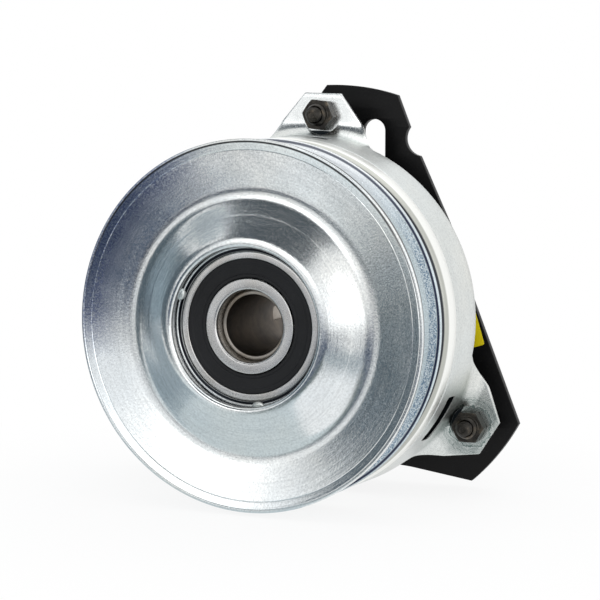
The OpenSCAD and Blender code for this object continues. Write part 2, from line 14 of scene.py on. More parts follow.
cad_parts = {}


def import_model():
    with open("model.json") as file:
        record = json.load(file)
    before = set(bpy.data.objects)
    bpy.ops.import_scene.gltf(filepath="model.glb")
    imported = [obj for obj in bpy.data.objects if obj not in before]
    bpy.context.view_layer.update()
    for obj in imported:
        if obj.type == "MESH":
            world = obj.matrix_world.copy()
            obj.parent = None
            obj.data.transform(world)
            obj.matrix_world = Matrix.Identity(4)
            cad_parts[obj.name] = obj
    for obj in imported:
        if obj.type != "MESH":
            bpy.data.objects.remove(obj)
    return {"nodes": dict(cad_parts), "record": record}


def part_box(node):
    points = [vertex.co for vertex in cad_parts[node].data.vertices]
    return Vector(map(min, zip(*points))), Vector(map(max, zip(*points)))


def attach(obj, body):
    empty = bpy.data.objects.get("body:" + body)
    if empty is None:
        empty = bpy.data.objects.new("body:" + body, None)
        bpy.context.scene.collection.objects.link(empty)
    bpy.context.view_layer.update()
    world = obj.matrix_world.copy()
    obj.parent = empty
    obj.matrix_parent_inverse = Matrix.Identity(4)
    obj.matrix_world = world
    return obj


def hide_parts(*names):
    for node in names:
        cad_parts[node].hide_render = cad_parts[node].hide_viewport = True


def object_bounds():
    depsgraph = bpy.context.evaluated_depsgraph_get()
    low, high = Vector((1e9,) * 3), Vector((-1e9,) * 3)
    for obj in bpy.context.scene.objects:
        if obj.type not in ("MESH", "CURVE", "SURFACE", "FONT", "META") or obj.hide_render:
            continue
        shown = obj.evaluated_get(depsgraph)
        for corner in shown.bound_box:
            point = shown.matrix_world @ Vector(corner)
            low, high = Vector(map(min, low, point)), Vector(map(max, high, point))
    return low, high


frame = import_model()
cad_low, cad_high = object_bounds()

MM = 0.001
COLUMNS = 252  # steps round a turned piece
ARC_STEP = 9.0  # degrees between the points of a fillet
AXIS_R = 0.001  # radius at which an outline starts on its axis
EDGE_FADE = 0.35  # soft edge of a painted ring
SPECK_SCALE = 1300.0  # fine speckle of the plating
CARD_R = 700.0  # distance of the hung studio cards


# Sizes taken from the frame

def reach(node):
    """Outer radius, front and rear of a turned CAD node, in millimetres."""
    low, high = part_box(node)
    return (high.x - low.x) / 2 / MM, low.y / MM, high.y / MM


RIM_R, BOSS_FRONT, TUBE_REAR = reach("pulley_front_sheet")
REAR_RIM_R, WEB_FRONT, REAR_RIM = reach("pulley_rear_sheet")
RACE_R, FRONT_BEARING, FRONT_BEARING_END = reach("front_bearing_outer")
_, REAR_BEARING, REAR_BEARING_END = reach("rear_bearing_outer")
HUB_R, HUB_FRONT, HUB_REAR = reach("rotor_hub")
_, DRUM_FRONT, EAR_BACK = reach("brake_drum")
_, PLATE_FRONT, PLATE_BACK = reach("field_plate")
_, STUD_TIP, STUD_END = reach("adjuster_studs")
_, SPRING_BASE, SPRING_TOP = reach("adjuster_springs")
FLOOR_Z = cad_low.z

# Sizes of the pieces, in millimetres

SHEET = 2.3
FRONT_RIM = -54.0
LIP_R = 74.4
LIP_RISE = 0.45
CREASE_R = 72.3
VALLEY_Y = -47.84
VALLEY_OUT_R = 56.16
VALLEY_IN_R = 52.17
CREST_R = 36.4
RECESS_R = 32.7
SEAT_LIP_R = 28.6
TUBE_R = 36.2
GROOVE_R = 56.0
BALL_R = 23.0
TRACK_R = 4.8
BEARING_BORE_R = 15.0
SEAL_GROOVE_R = 28.0
SEAL_LEDGE_R = 26.6
SEAL_LEDGE_Y = 6.2
NECK_R = 14.0
BORE_R = 12.7
KEY_W = 6.35
KEY_DEPTH = 1.9
KEY_START = 2.0
DRUM_T = 2.5
DRUM_R = 78.3
DRUM_CORNER_R = 77.0
DRUM_REAR = 9.0
FLANGE_Y = -12.7
FLANGE_R = 47.0
EAR_Y = EAR_BACK - DRUM_T
EAR_BEND = 6.0
EAR_TIP_R = 96.8
EAR_TIP_HALF = 8.2
EAR_COLUMNS = 15
SPOT_R = 8.8
WINDOW = (23.0, 8.5)
WINDOW_Y = -0.3
STUD_PCR = 87.2
STUD_R = 3.175
THREAD_PITCH = 25.4 / 28
STUD_ANGLES = [87.6, 207.6, 327.6]
STAKE_ANGLES = [38, 158, 278]
NUT_AF = 12.7
NUT_TOP = 12.7
NUT_SEAT = 17.9
NUT_CROWN_R = 4.75
NUT_CROWN_TOP = 10.1
NUT_TURN = [7.0, 0.0, 0.0]
SPRING_R = 6.2
SPRING_WIRE = 1.8
SPRING_TURNS = 6
PLATE_APOTHEM = 64.6
PLATE_BULGE_R = 67.2
PLATE_FLANK = (23.1, 56.8)
PLATE_TIP_R = 101.0
PLATE_CLOCK = 81.7
PLATE_HOLE_R = 37.0
SLOT_X = 20.35
SLOT_W = 10.5
SLOT_Z = (64.75, 80.25)
NOTCH_R = 88.2
NOTCH_ANGLE = 60.7
NOTCH_SIZE = 7.9
RIVET_PCR = 47.0
RIVET_R = 2.5
RIVET_ANGLES = [30 + 60 * i for i in range(6)]
LABEL_CORNER = (73.0, -13.7)
LABEL_SIZE = (9.0, 22.0)
LABEL_TILT = 17.0
CONNECTOR = (-78.0, -56.2, 24.0, 37.0, 10.0)


def polar(radius, angle):
    a = math.radians(angle)
    return radius * math.cos(a), radius * math.sin(a)


# Shader graphs

MATERIALS = {}


def add_node(tree, kind, inputs, **settings):
    """A shader node with its settings. Sockets among its inputs are linked, other values are set."""
    made = tree.nodes.new("ShaderNode" + kind)
    for key, value in settings.items():
        setattr(made, key, value)
    for key, value in inputs.items():
        if isinstance(value, bpy.types.NodeSocket):
            tree.links.new(value, made.inputs[key])
        else:
            made.inputs[key].default_value = value
    return made


class Finish:
    """One material: short calls make its shader nodes and return their output sockets."""

    def __init__(self, name, **constants):
        material = MATERIALS[name] = bpy.data.materials.new(name)
        material.use_nodes = True
        self.tree = material.node_tree
        self.shader = self.tree.nodes["Principled BSDF"]
        for socket, value in constants.items():
            self.shader.inputs[socket.replace("_", " ")].default_value = value
        self.place = self.node("TexCoord", {}).outputs["Object"]
        self.axis = self.node("SeparateXYZ", {0: self.place}).outputs
        self.flat = self.node("VectorMath", {0: self.place, 1: (1, 0, 1)}, operation="MULTIPLY").outputs[0]
        self.radius = self.node("VectorMath", {0: self.flat}, operation="LENGTH").outputs["Value"]

    def node(self, kind, inputs, **settings):
        return add_node(self.tree, kind, inputs, **settings)

    def math(self, operation, a, b=0.0):
        return self.node("Math", {0: a, 1: b}, operation=operation).outputs[0]

    def times(self, a, b):
        return self.math("MULTIPLY", a, b)

    def between(self, value, low, high, at_low, at_high):
        """A value that runs from at_low to at_high while another runs from low to high."""
        inputs = {"Value": value, "From Min": low, "From Max": high, "To Min": at_low, "To Max": at_high}
        return self.node("MapRange", inputs).outputs["Result"]

    def span(self, length, low, high, at_low, at_high):
        """The same for a length, with low and high in millimetres."""
        return self.between(length, low * MM, high * MM, at_low, at_high)

    def spread(self, value, low, high):
        """A 0 to 1 value stretched to run from low to high."""
        return self.between(value, 0.0, 1.0, low, high)

    def noise(self, scale, detail=2.0, rough=0.55, where=None):
        where = self.place if where is None else where
        inputs = {"Vector": where, "Scale": scale, "Detail": detail, "Roughness": rough}
        return self.node("TexNoise", inputs).outputs["Fac"]

    def ramp(self, value, *stops):
        """Colours at positions along a 0 to 1 value."""
        made = self.node("ValToRGB", {"Fac": value})
        elements = made.color_ramp.elements
        while len(elements) < len(stops):
            elements.new(0.5)
        for element, (position, colour) in zip(elements, stops):
            element.position = position
            element.color = (*colour, 1.0)
        return made.outputs["Color"]

    def mix(self, share, a, b, how="MIX"):
        a, b = (c if isinstance(c, bpy.types.NodeSocket) else (*c, 1.0) for c in (a, b))
        return self.node("Mix", {0: share, 6: a, 7: b}, data_type="RGBA", blend_type=how).outputs[2]

    def spun(self, around, across):
        """Coordinates that stretch a texture into rings about the shaft axis."""
        unit = self.node("VectorMath", {0: self.flat}, operation="NORMALIZE").outputs[0]
        turn = self.node("VectorMath", {0: unit, "Scale": around}, operation="SCALE").outputs[0]
        rise = self.times(self.math("ADD", self.radius, self.axis["Y"]), across)
        step = self.node("CombineXYZ", {"Y": rise}).outputs[0]
        return self.node("VectorMath", {0: turn, 1: step}, operation="ADD").outputs[0]

    def ring(self, inner, outer):
        """1 between two radii about the shaft axis, in millimetres, fading to 0 just outside them."""
        off = self.math("ABSOLUTE", self.math("SUBTRACT", self.radius, (inner + outer) / 2 * MM))
        half = (outer - inner) / 2
        return self.span(off, half, half + EDGE_FADE, 1.0, 0.0)

    def about(self, places):
        """Distance in metres to the nearest of some lines along Y. Their (x, z) places are in millimetres."""
        nearest = None
        for x, z in places:
            away = self.node("VectorMath", {0: self.flat, 1: (x * MM, 0, z * MM)}, operation="DISTANCE")
            length = away.outputs["Value"]
            nearest = length if nearest is None else self.math("MINIMUM", nearest, length)
        return nearest

    def bump(self, height, depth, under=None):
        """A normal from a height value, with its full depth in metres."""
        inputs = {"Height": height, "Distance": depth, "Strength": 1.0}
        if under is not None:
            inputs["Normal"] = under
        return self.node("Bump", inputs).outputs["Normal"]

    def radial_tangent(self):
        made = self.node("Tangent", {}, direction_type="RADIAL", axis="Y")
        self.tree.links.new(made.outputs[0], self.shader.inputs["Tangent"])

    def set(self, colour, roughness, normal):
        for socket, value in (("Base Color", colour), ("Roughness", roughness), ("Normal", normal)):
            self.tree.links.new(value, self.shader.inputs[socket])


def plated(name, cool, warm, rough, speck_depth, line_share, anisotropy, marks_and_painted_light, dull=0.0, metal=1.0):
    """Zinc plating: spun lines, a fine speckle, slow drifts of tint, and what the given marks add: stains and
    wear, and painted shade, painted highlights and painted reflections.

    dull roughens what lies inside the drum wall's radius. metal is lower where the plating looks chalky.
    """
    f = Finish(name, Metallic=metal, Anisotropic=anisotropy)
    f.radial_tangent()
    lines = f.noise(1.0, 3.0, 0.7, f.spun(1.6, 950.0))
    fine = f.noise(1.0, 2.0, 0.6, f.spun(9.0, 3200.0))
    speck = f.noise(SPECK_SCALE, 1.0, 0.5)
    flake = f.noise(1150.0, 2.0, 0.7)
    cloud = f.noise(26.0, 3.0, 0.55)
    smear = f.noise(1.0, 3.0, 0.6, f.spun(3.5, 90.0))
    dark = tuple(c * 0.62 for c in cool)
    middle = tuple((a + b) / 2 for a, b in zip(cool, warm))
    tint = f.ramp(cloud, (0.32, cool), (0.52, middle), (0.68, warm))
    worked = f.mix(f.spread(smear, 0.0, 0.35), tint, dark)
    lined = f.mix(f.between(lines, 0.45, 0.75, 0.0, line_share), worked, dark)
    plating = f.mix(f.between(flake, 0.4, 0.75, 0.0, 0.5), lined, tuple(c * 0.55 for c in cool))
    # the marks function adds stains and wear, and also painted shade, painted highlights and painted
    # reflections, to the plating colour
    colour = marks_and_painted_light(f, plating)
    uneven = f.math("ADD", f.spread(speck, -0.1, 0.1), f.spread(smear, -0.06, 0.08))
    wall = f.span(f.radius, 78.6, 80.0, rough + dull, rough)
    roughness = f.math("ADD", f.math("ADD", uneven, f.spread(fine, -0.04, 0.04)), wall)
    rings = f.bump(f.math("ADD", lines, f.times(fine, 0.8)), 0.000022)
    f.set(colour, roughness, f.bump(speck, speck_depth, rings))


def dish_painted_light(f, colour):
    """Painted reflection and painted shade: a speckled navy tone on the upper-left outer flank standing in
    for its dark reflection, painted shade in the bearing recess gap, and dark lines painted as shade along
    the rim's rear edge and in its lip.
    """
    height = f.axis["Z"]
    depth = f.math("ADD", f.axis["Y"], f.span(height, 10, 50, 0.0, 0.9 * MM))
    # painted shade: a dark line on the rear part of the rim's outer edge, at the gap behind it
    edge = f.times(f.ring(76.4, 80.0), f.span(depth, -52.8, -52.6, 0.0, 1.0))
    # painted shade in the small groove of the rim's lip, darker higher up
    lip = f.times(f.ring(75.35, 75.75), f.span(height, 5, 45, 0.12, 0.9))
    # painted shade in the gap of the bearing recess, joined with the two painted dark lines above
    shade_lines = f.math("MAXIMUM", f.math("MAXIMUM", edge, lip), f.ring(31.2, 32.15))
    # painted reflection: a speckled navy tone on the outer flank facing up and to the left, standing in for
    # its dark reflection
    toward = f.math("ADD", f.times(f.axis["X"], -0.866), f.times(height, 0.5))
    side = f.between(f.math("DIVIDE", toward, f.radius), 0.72, 0.90, 0.0, 1.0)
    speck = f.between(f.noise(SPECK_SCALE, 1.0, 0.5), 0.42, 0.58, 0.5, 1.0)
    outer = f.times(f.span(f.radius, 61.0, 70.5, 0.0, 1.0), speck)
    stained = f.mix(f.times(side, outer), colour, (0.20, 0.24, 0.37))
    return f.mix(shade_lines, stained, (0.012, 0.014, 0.018))


def groove_stain_and_painted_light(f, colour):
    """A blue speckled tone on the belt flank, part stain and part painted reflection, fading higher up; a
    painted pale reflection high up; painted glints in the blue; and dark lines painted as shade in the lip
    and at the rear rim's edge.
    """
    height = f.axis["Z"]
    # painted reflection: the flank paled towards white higher up
    pale = f.mix(f.span(height, 40, 66, 0.0, 0.9), colour, (0.97, 0.985, 1.0))
    # a blue speckled tone, part stain and part painted reflection, fading higher up
    band = f.times(f.ring(72.4, 75.1), f.span(height, 25, 60, 1.0, 0.1))
    fine = f.noise(2300.0, 1.0, 0.5)
    stained = f.mix(f.times(band, f.between(fine, 0.46, 0.60, 0.15, 1.0)), pale, (0.15, 0.24, 0.35))
    # painted glints: bright flecks in the blue band
    with_painted_glints = f.mix(f.times(band, f.between(fine, 0.30, 0.42, 1.0, 0.0)), stained, (0.90, 0.97, 1.0))
    # painted shade: dark lines on the rear rim's edge at the gap before the drum, and in the lip's crease
    back = f.times(f.ring(76.2, 77.4), f.span(f.axis["Y"], REAR_RIM - 1.2, REAR_RIM - 0.9, 0.0, 1.0))
    line = f.times(f.ring(75.65, 76.3), f.span(height, 45, 70, 1.0, 0.85))
    return f.mix(f.math("MAXIMUM", back, line), with_painted_glints, (0.012, 0.022, 0.06))


def drum_wear_and_painted_light(f, colour):
    """Painted highlights on the front corner's crown and the upper ear, a painted cream reflection and
    painted shade at the front corner, wrench swirls about the nuts and painted shade in their seats.

    The windows' cut edges get painted shade as well.
    """
    depth, height = f.axis["Y"], f.axis["Z"]
    # painted highlight: a near-white band on the front corner's crown
    crown = f.times(f.ring(76.65, 77.4), f.span(depth, -13.9, -13.6, 1.0, 0.0))
    lit_and_shaded = f.mix(crown, colour, (0.97, 0.98, 0.95))
    # painted reflection: a greyish cream band on the front corner below the highlight
    lit_and_shaded = f.mix(f.ring(74.9, 76.3), lit_and_shaded, (0.52, 0.53, 0.49))
    # painted highlight: the top ear made near-white
    upper_ear_highlight = f.times(f.span(height, 79.5, 82.5, 0.0, 0.85), f.span(depth, 10.0, 14.5, 0.0, 1.0))
    lit_and_shaded = f.mix(upper_ear_highlight, lit_and_shaded, (0.98, 1.0, 1.0))
    # painted shade on the drum's front face, in the gap behind the pulley's rear rim
    lit_and_shaded = f.mix(f.ring(40.0, 75.0), lit_and_shaded, (0.04, 0.044, 0.05))
    away = f.about([polar(STUD_PCR, angle) for angle in STUD_ANGLES])
    wander = f.times(f.noise(240.0, 3.0, 0.6), 0.006)
    turns = f.node("CombineXYZ", {"X": f.math("ADD", away, wander)}).outputs[0]
    swirl = f.between(f.noise(1500.0, 2.0, 0.6, turns), 0.40, 0.60, 0.3, 1.0)
    low = f.span(height, -20, 40, 1.0, 0.2)
    near = f.times(f.span(away, 10.5, 16.5, 1.0, 0.0), f.span(depth, 12.5, 15.0, 0.0, 1.0))
    worn = f.mix(f.times(f.times(swirl, low), near), lit_and_shaded, (0.16, 0.21, 0.20))
    # painted shade: the spot-face seats under the nuts and the windows' cut edges made near-black
    seat = f.times(f.span(away, 8.6, 9.0, 1.0, 0.0), f.ring(40.0, 80.2))
    inside = f.times(f.span(f.radius, 77.58, 77.68, 1.0, 0.0), f.span(depth, -5.3, -5.1, 0.0, 1.0))
    return f.mix(f.math("MAXIMUM", seat, inside), worn, (0.012, 0.015, 0.018))


def coated(name, colour, rough, grain, depth, dust, gloss=0.5):
    """A dark coating or moulded surface with grain, dust and slow changes of gloss."""
    f = Finish(name, Specular_IOR_Level=gloss)
    peel = f.noise(grain, 2.0, 0.5)
    cloud = f.noise(40.0, 4.0, 0.6)
    lint = f.noise(grain * 1.7, 1.0, 0.5)
    base = f.ramp(cloud, (0.3, tuple(c * 0.75 for c in colour)), (0.7, tuple(c * 1.3 for c in colour)))
    specks = f.ramp(lint, (0.66, (0, 0, 0)), (0.74, (dust, dust, dust * 1.02)))
    shade = f.mix(1.0, base, specks, "ADD")
    roughness = f.math("ADD", f.spread(cloud, -0.09, 0.1), f.spread(peel, rough - 0.05, rough + 0.05))
    f.set(shade, roughness, f.bump(peel, depth))


def bare_metal(name, colour, stain, rough, grain=1500.0, lathe_marks=1600.0, bore=None):
    """Turned or ground metal: rings of tool marks over a stained, mottled surface, oily within bore."""
    f = Finish(name, Metallic=1.0, Anisotropic=0.35)
    f.radial_tangent()
    marks = f.noise(1.0, 3.0, 0.6, f.spun(3.0, lathe_marks))
    mottle = f.noise(grain, 2.0, 0.6)
    cloud = f.noise(95.0, 4.0, 0.6)
    stained = f.ramp(cloud, (0.38, colour), (0.66, stain))
    marked = f.mix(f.spread(marks, -0.1, 0.35), stained, tuple(c * 0.55 for c in colour))
    shade = f.mix(f.spread(mottle, -0.05, 0.3), marked, tuple(min(c * 1.35, 0.92) for c in colour))
    if bore is not None:
        oiled = f.ramp(cloud, (0.35, (0.055, 0.045, 0.036)), (0.7, (0.15, 0.12, 0.09)))
        shade = f.mix(f.ring(0.0, bore), shade, oiled)
    roughness = f.math("ADD", f.spread(mottle, -0.08, 0.1), f.spread(marks, rough - 0.05, rough + 0.07))
    f.set(shade, roughness, f.bump(f.math("ADD", marks, mottle), 0.00001))


def phosphate_coat():
    """Dark oiled phosphate: brown where it has worn, nearly black in between."""
    f = Finish("phosphate", Metallic=0.6)
    crust = f.noise(900.0, 4.0, 0.65)
    cloud = f.noise(260.0, 3.0, 0.6)
    colour = f.ramp(cloud, (0.3, (0.010, 0.009, 0.008)), (0.55, (0.036, 0.032, 0.026)),
                    (0.75, (0.13, 0.105, 0.075)))
    f.set(colour, f.spread(crust, 0.16, 0.44), f.bump(crust, 0.00005))


def friction_mix():
    """Moulded friction material: brown-grey binder with pale fibres and brass chips."""
    f = Finish("lining")
    grit = f.noise(1100.0, 4.0, 0.7)
    chips = f.node("TexVoronoi", {"Vector": f.place, "Scale": 900.0}).outputs["Distance"]
    base = f.ramp(grit, (0.3, (0.010, 0.009, 0.008)), (0.7, (0.035, 0.029, 0.024)))
    colour = f.mix(f.ramp(chips, (0.12, (1, 1, 1)), (0.2, (0, 0, 0))), base, (0.12, 0.09, 0.045))
    f.set(colour, f.spread(grit, 0.7, 0.95), f.bump(grit, 0.00006))


def label_film():
    """Plain yellow printed film under a clear gloss coat."""
    f = Finish("yellow_label", Coat_Weight=0.4, Coat_Roughness=0.12)
    fleck = f.noise(1600.0, 2.0, 0.5)
    cloud = f.noise(70.0, 2.0, 0.5)
    colour = f.ramp(cloud, (0.3, (0.93, 0.72, 0.004)), (0.7, (0.97, 0.79, 0.008)))
    f.set(colour, f.spread(fleck, 0.3, 0.42), f.bump(fleck, 0.000006))


def enamelled_wire():
    """Copper winding: close turns seen as fine ridges."""
    f = Finish("copper", Metallic=0.85)
    wave = f.node("TexWave", {"Vector": f.spun(0.0, 1.0), "Scale": 340.0, "Distortion": 0.4})
    turns = wave.outputs["Fac"]
    colour = f.ramp(turns, (0.1, (0.14, 0.045, 0.015)), (0.6, (0.62, 0.26, 0.1)))
    f.set(colour, f.spread(turns, 0.45, 0.25), f.bump(turns, 0.0003))


# the marks given here paint shade, highlights and reflections into the zinc as well as stains and wear
plated("zinc", (0.88, 0.93, 0.955), (0.95, 0.955, 0.925), 0.18, 0.00002, 0.42, 0.40, dish_painted_light)
plated("groove_zinc", (0.74, 0.85, 0.90), (0.80, 0.88, 0.91), 0.24, 0.00002, 0.4, 0.30, groove_stain_and_painted_light,
       metal=0.3)
plated("drum_zinc", (0.80, 0.84, 0.835), (0.87, 0.88, 0.84), 0.24, 0.000006, 0.2, 0.2, drum_wear_and_painted_light, dull=0.16)
coated("black_coat", (0.0045, 0.0045, 0.0048), 0.40, 1400.0, 0.000016, 0.012, 0.16)
label_film()
# painted shade: near-black, far darker than bare turned iron, so the parts inside the drum read as shade
# through its windows
bare_metal("soft_iron", (0.022, 0.022, 0.024), (0.032, 0.028, 0.024), 0.5)
bare_metal("hub_steel", (0.40, 0.37, 0.33), (0.25, 0.20, 0.15), 0.34, bore=BORE_R + 0.05)
bare_metal("race_steel", (0.64, 0.64, 0.64), (0.55, 0.53, 0.50), 0.27, 1900.0, 2600.0)
coated("seal_rubber", (0.010, 0.0105, 0.012), 0.55, 2200.0, 0.000014, 0.02, 0.25)
friction_mix()
coated("plastic", (0.016, 0.016, 0.017), 0.48, 900.0, 0.00002, 0.015)
enamelled_wire()
bare_metal("terminal_tin", (0.66, 0.58, 0.40), (0.52, 0.42, 0.25), 0.28)
phosphate_coat()
bare_metal("spring_steel", (0.24, 0.24, 0.25), (0.14, 0.13, 0.125), 0.36, 1500.0, 2400.0)
coated("ring_black", (0.03, 0.03, 0.033), 0.38, 1300.0, 0.00001, 0.02)
bare_metal("cage_brass", (0.60, 0.46, 0.24), (0.46, 0.33, 0.17), 0.33)
bare_metal("rivet_steel", (0.48, 0.48, 0.48), (0.36, 0.34, 0.31), 0.33)


# Mesh making

def rounded(corners):
    """A closed outline through (radius, y, fillet) corners, each turned into an arc."""
    outline = []
    for i, (r, y, fillet) in enumerate(corners):
        here = Vector((r, y))
        back = Vector(corners[i - 1][:2]) - here
        ahead = Vector(corners[(i + 1) % len(corners)][:2]) - here
        turn = math.pi - back.angle(ahead)
        if fillet <= 0 or turn < 0.01:
            outline.append((r, y))
            continue
        cut = min(fillet * math.tan(turn / 2), 0.49 * back.length, 0.49 * ahead.length)
        radius = cut / math.tan(turn / 2)
        centre = here + (back.normalized() + ahead.normalized()).normalized() * math.hypot(radius, cut)
        first = here + back.normalized() * cut - centre
        side = math.copysign(1.0, back.x * ahead.y - back.y * ahead.x)
        steps = max(2, round(math.degrees(turn) / ARC_STEP))
        for k in range(steps + 1):
            a = -side * turn * k / steps
            spoke = Vector((first.x * math.cos(a) - first.y * math.sin(a),
                            first.x * math.sin(a) + first.y * math.cos(a)))
            outline.append(tuple(centre + spoke))
    return outline


def arc(r, y, radius, start, end, count):
    """Corners with no fillet along an arc about (r, y), angles from the radial direction."""
    angles = [math.radians(start + (end - start) * k / count) for k in range(count + 1)]
    return [(r + radius * math.cos(a), y + radius * math.sin(a), 0) for a in angles]


def grid(rows, columns):
    """Faces between rows of vertices that each close into a ring."""
    faces = []
    for j in range(rows):
        for k in range(columns):
            n = (k + 1) % columns
            faces.append((j * columns + k, j * columns + n, (j + 1) * columns + n, (j + 1) * columns + k))
    return faces


def lathe(outline_at, columns=COLUMNS, centre=(0.0, 0.0)):
    """Vertices and faces of an outline swept round a line along Y. outline_at gives it at each angle."""
    verts = []
    for k in range(columns):
        a = math.tau * k / columns
        for r, y in outline_at(a):
            verts.append((centre[0] + r * math.cos(a), y, centre[1] + r * math.sin(a)))
    count = len(verts) // columns
    faces = []
    for k in range(columns):
        here, there = k * count, (k + 1) % columns * count
        for i in range(count):
            j = (i + 1) % count
            faces.append((here + i, here + j, there + j, there + i))
    return verts, faces


def turned(corners, columns=COLUMNS, centre=(0.0, 0.0)):
    outline = rounded(corners)
    return lathe(lambda a: outline, columns, centre)


def plug(radius, start, end):
    """Corners of a plain round bar."""
    return [(AXIS_R, start, 0), (radius, start, 0), (radius, end, 0), (AXIS_R, end, 0)]


def joined(*parts):
    """One list of vertices and one of faces from several."""
    verts, faces = [], []
    for part_verts, part_faces in parts:
        start = len(verts)
        verts.extend(part_verts)
        faces.extend(tuple(start + i for i in face) for face in part_faces)
    return verts, faces


def on_studs(make):
    """A part repeated on the three adjuster studs. make takes the stud's place and its angle."""
    return joined(*(make(polar(STUD_PCR, angle), math.radians(angle)) for angle in STUD_ANGLES))


def linked(name, data):
    """A new object in the scene with the given mesh, curve, lamp or camera."""
    made = bpy.data.objects.new(name, data)
    bpy.context.scene.collection.objects.link(made)
    return made


def weld(mesh, gap, sliver=None):
    """Joins vertices that meet, drops slivers where asked, and turns all faces outward."""
    work = bmesh.new()
    work.from_mesh(mesh)
    bmesh.ops.remove_doubles(work, verts=work.verts, dist=gap)
    if sliver is not None:
        bmesh.ops.dissolve_degenerate(work, edges=work.edges, dist=sliver)
    bmesh.ops.recalc_face_normals(work, faces=work.faces)
    work.to_mesh(mesh)
    work.free()


def new_object(name, verts, faces):
    mesh = bpy.data.meshes.new(name)
    mesh.from_pydata([Vector(v) * MM for v in verts], [], faces)
    weld(mesh, 1e-7, 1e-8)
    return linked(name, mesh)


def evaluated(source):
    """A new mesh of what an object's modifiers or curve settings make."""
    graph = bpy.context.evaluated_depsgraph_get()
    return bpy.data.meshes.new_from_object(source.evaluated_get(graph))


def bake(piece):
    """Replaces the object's mesh by what its modifiers make of it."""
    mesh = evaluated(piece)
    piece.modifiers.clear()
    piece.data = mesh


def cut(piece, *cutters):
    """Takes closed cutters away from a piece and removes them."""
    for cutter in cutters:
        step = piece.modifiers.new("cut", "BOOLEAN")
        step.operation = "DIFFERENCE"
        step.solver = "EXACT"
        step.object = cutter
    bake(piece)
    for cutter in cutters:
        bpy.data.objects.remove(cutter)


def soften(piece, width, angle):
    """Small rounded edges wherever two faces meet at more than an angle."""
    step = piece.modifiers.new("edges", "BEVEL")
    step.width = width * MM
    step.segments = 2
    step.limit_method = "ANGLE"
    step.angle_limit = math.radians(angle)
    step.harden_normals = False
    bake(piece)


def dress(piece, body, slot, *nodes, sharp=32.0, finish=None):
    """Finishes a piece: shading, material, the body it rides on and the nodes it stands for."""
    piece.data.shade_smooth()
    piece.data.set_sharp_from_angle(angle=math.radians(sharp))
    piece.data.materials.clear()
    piece.data.materials.append(MATERIALS[finish or slot])
    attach(piece, body)
    if nodes:
        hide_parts(*nodes)
    return piece


def turned_piece(name, body, slot, nodes, corners, finish=None):
    return dress(new_object(name, *turned(corners)), body, slot, *nodes, finish=finish)


def block(size, centre, edge=0.0, turn=0.0):
    """A box with rounded edges, as vertices and faces in millimetres. turn is about Y, in degrees."""
    work = bmesh.new()
    bmesh.ops.create_cube(work, size=1.0)
    bmesh.ops.scale(work, vec=size, verts=work.verts)
    if edge > 0:
        bmesh.ops.bevel(work, geom=work.edges, offset=edge, segments=3, profile=0.5, affect="EDGES")
    about_y = Matrix.Rotation(math.radians(turn), 3, "Y")
    bmesh.ops.rotate(work, cent=(0, 0, 0), matrix=about_y, verts=work.verts)
    bmesh.ops.translate(work, vec=centre, verts=work.verts)
    work.verts.index_update()
    made = [tuple(v.co) for v in work.verts], [tuple(v.index for v in f.verts) for f in work.faces]
    work.free()
    return made


def sheet_plate(name, outlines, front, thickness, edge):
    """A flat plate normal to Y from closed (x, z) outlines, the first outside and the rest holes."""
    curve = bpy.data.curves.new(name, "CURVE")
    curve.dimensions = "2D"
    curve.fill_mode = "BOTH"
    curve.extrude = (thickness / 2 - edge) * MM
    curve.bevel_depth = edge * MM
    curve.bevel_resolution = 2
    curve.offset = -edge * MM
    for outline in outlines:
        spline = curve.splines.new("POLY")
        spline.points.add(len(outline) - 1)
        for point, (x, z) in zip(spline.points, outline):
            point.co = (x * MM, z * MM, 0.0, 1.0)
        spline.use_cyclic_u = True
    source = linked(name + "_outline", curve)
    mesh = evaluated(source)
    bpy.data.objects.remove(source)
    middle = Matrix.Translation((0, (front + thickness / 2) * MM, 0))
    mesh.transform(middle @ Matrix.Rotation(math.pi / 2, 4, "X"))
    mesh.name = name
    weld(mesh, 1e-6)
    return linked(name, mesh)


def circle(x, z, radius, count=64):
    return [(x + radius * math.cos(math.tau * k / count), z + radius * math.sin(math.tau * k / count))
            for k in range(count)]


# Pulley

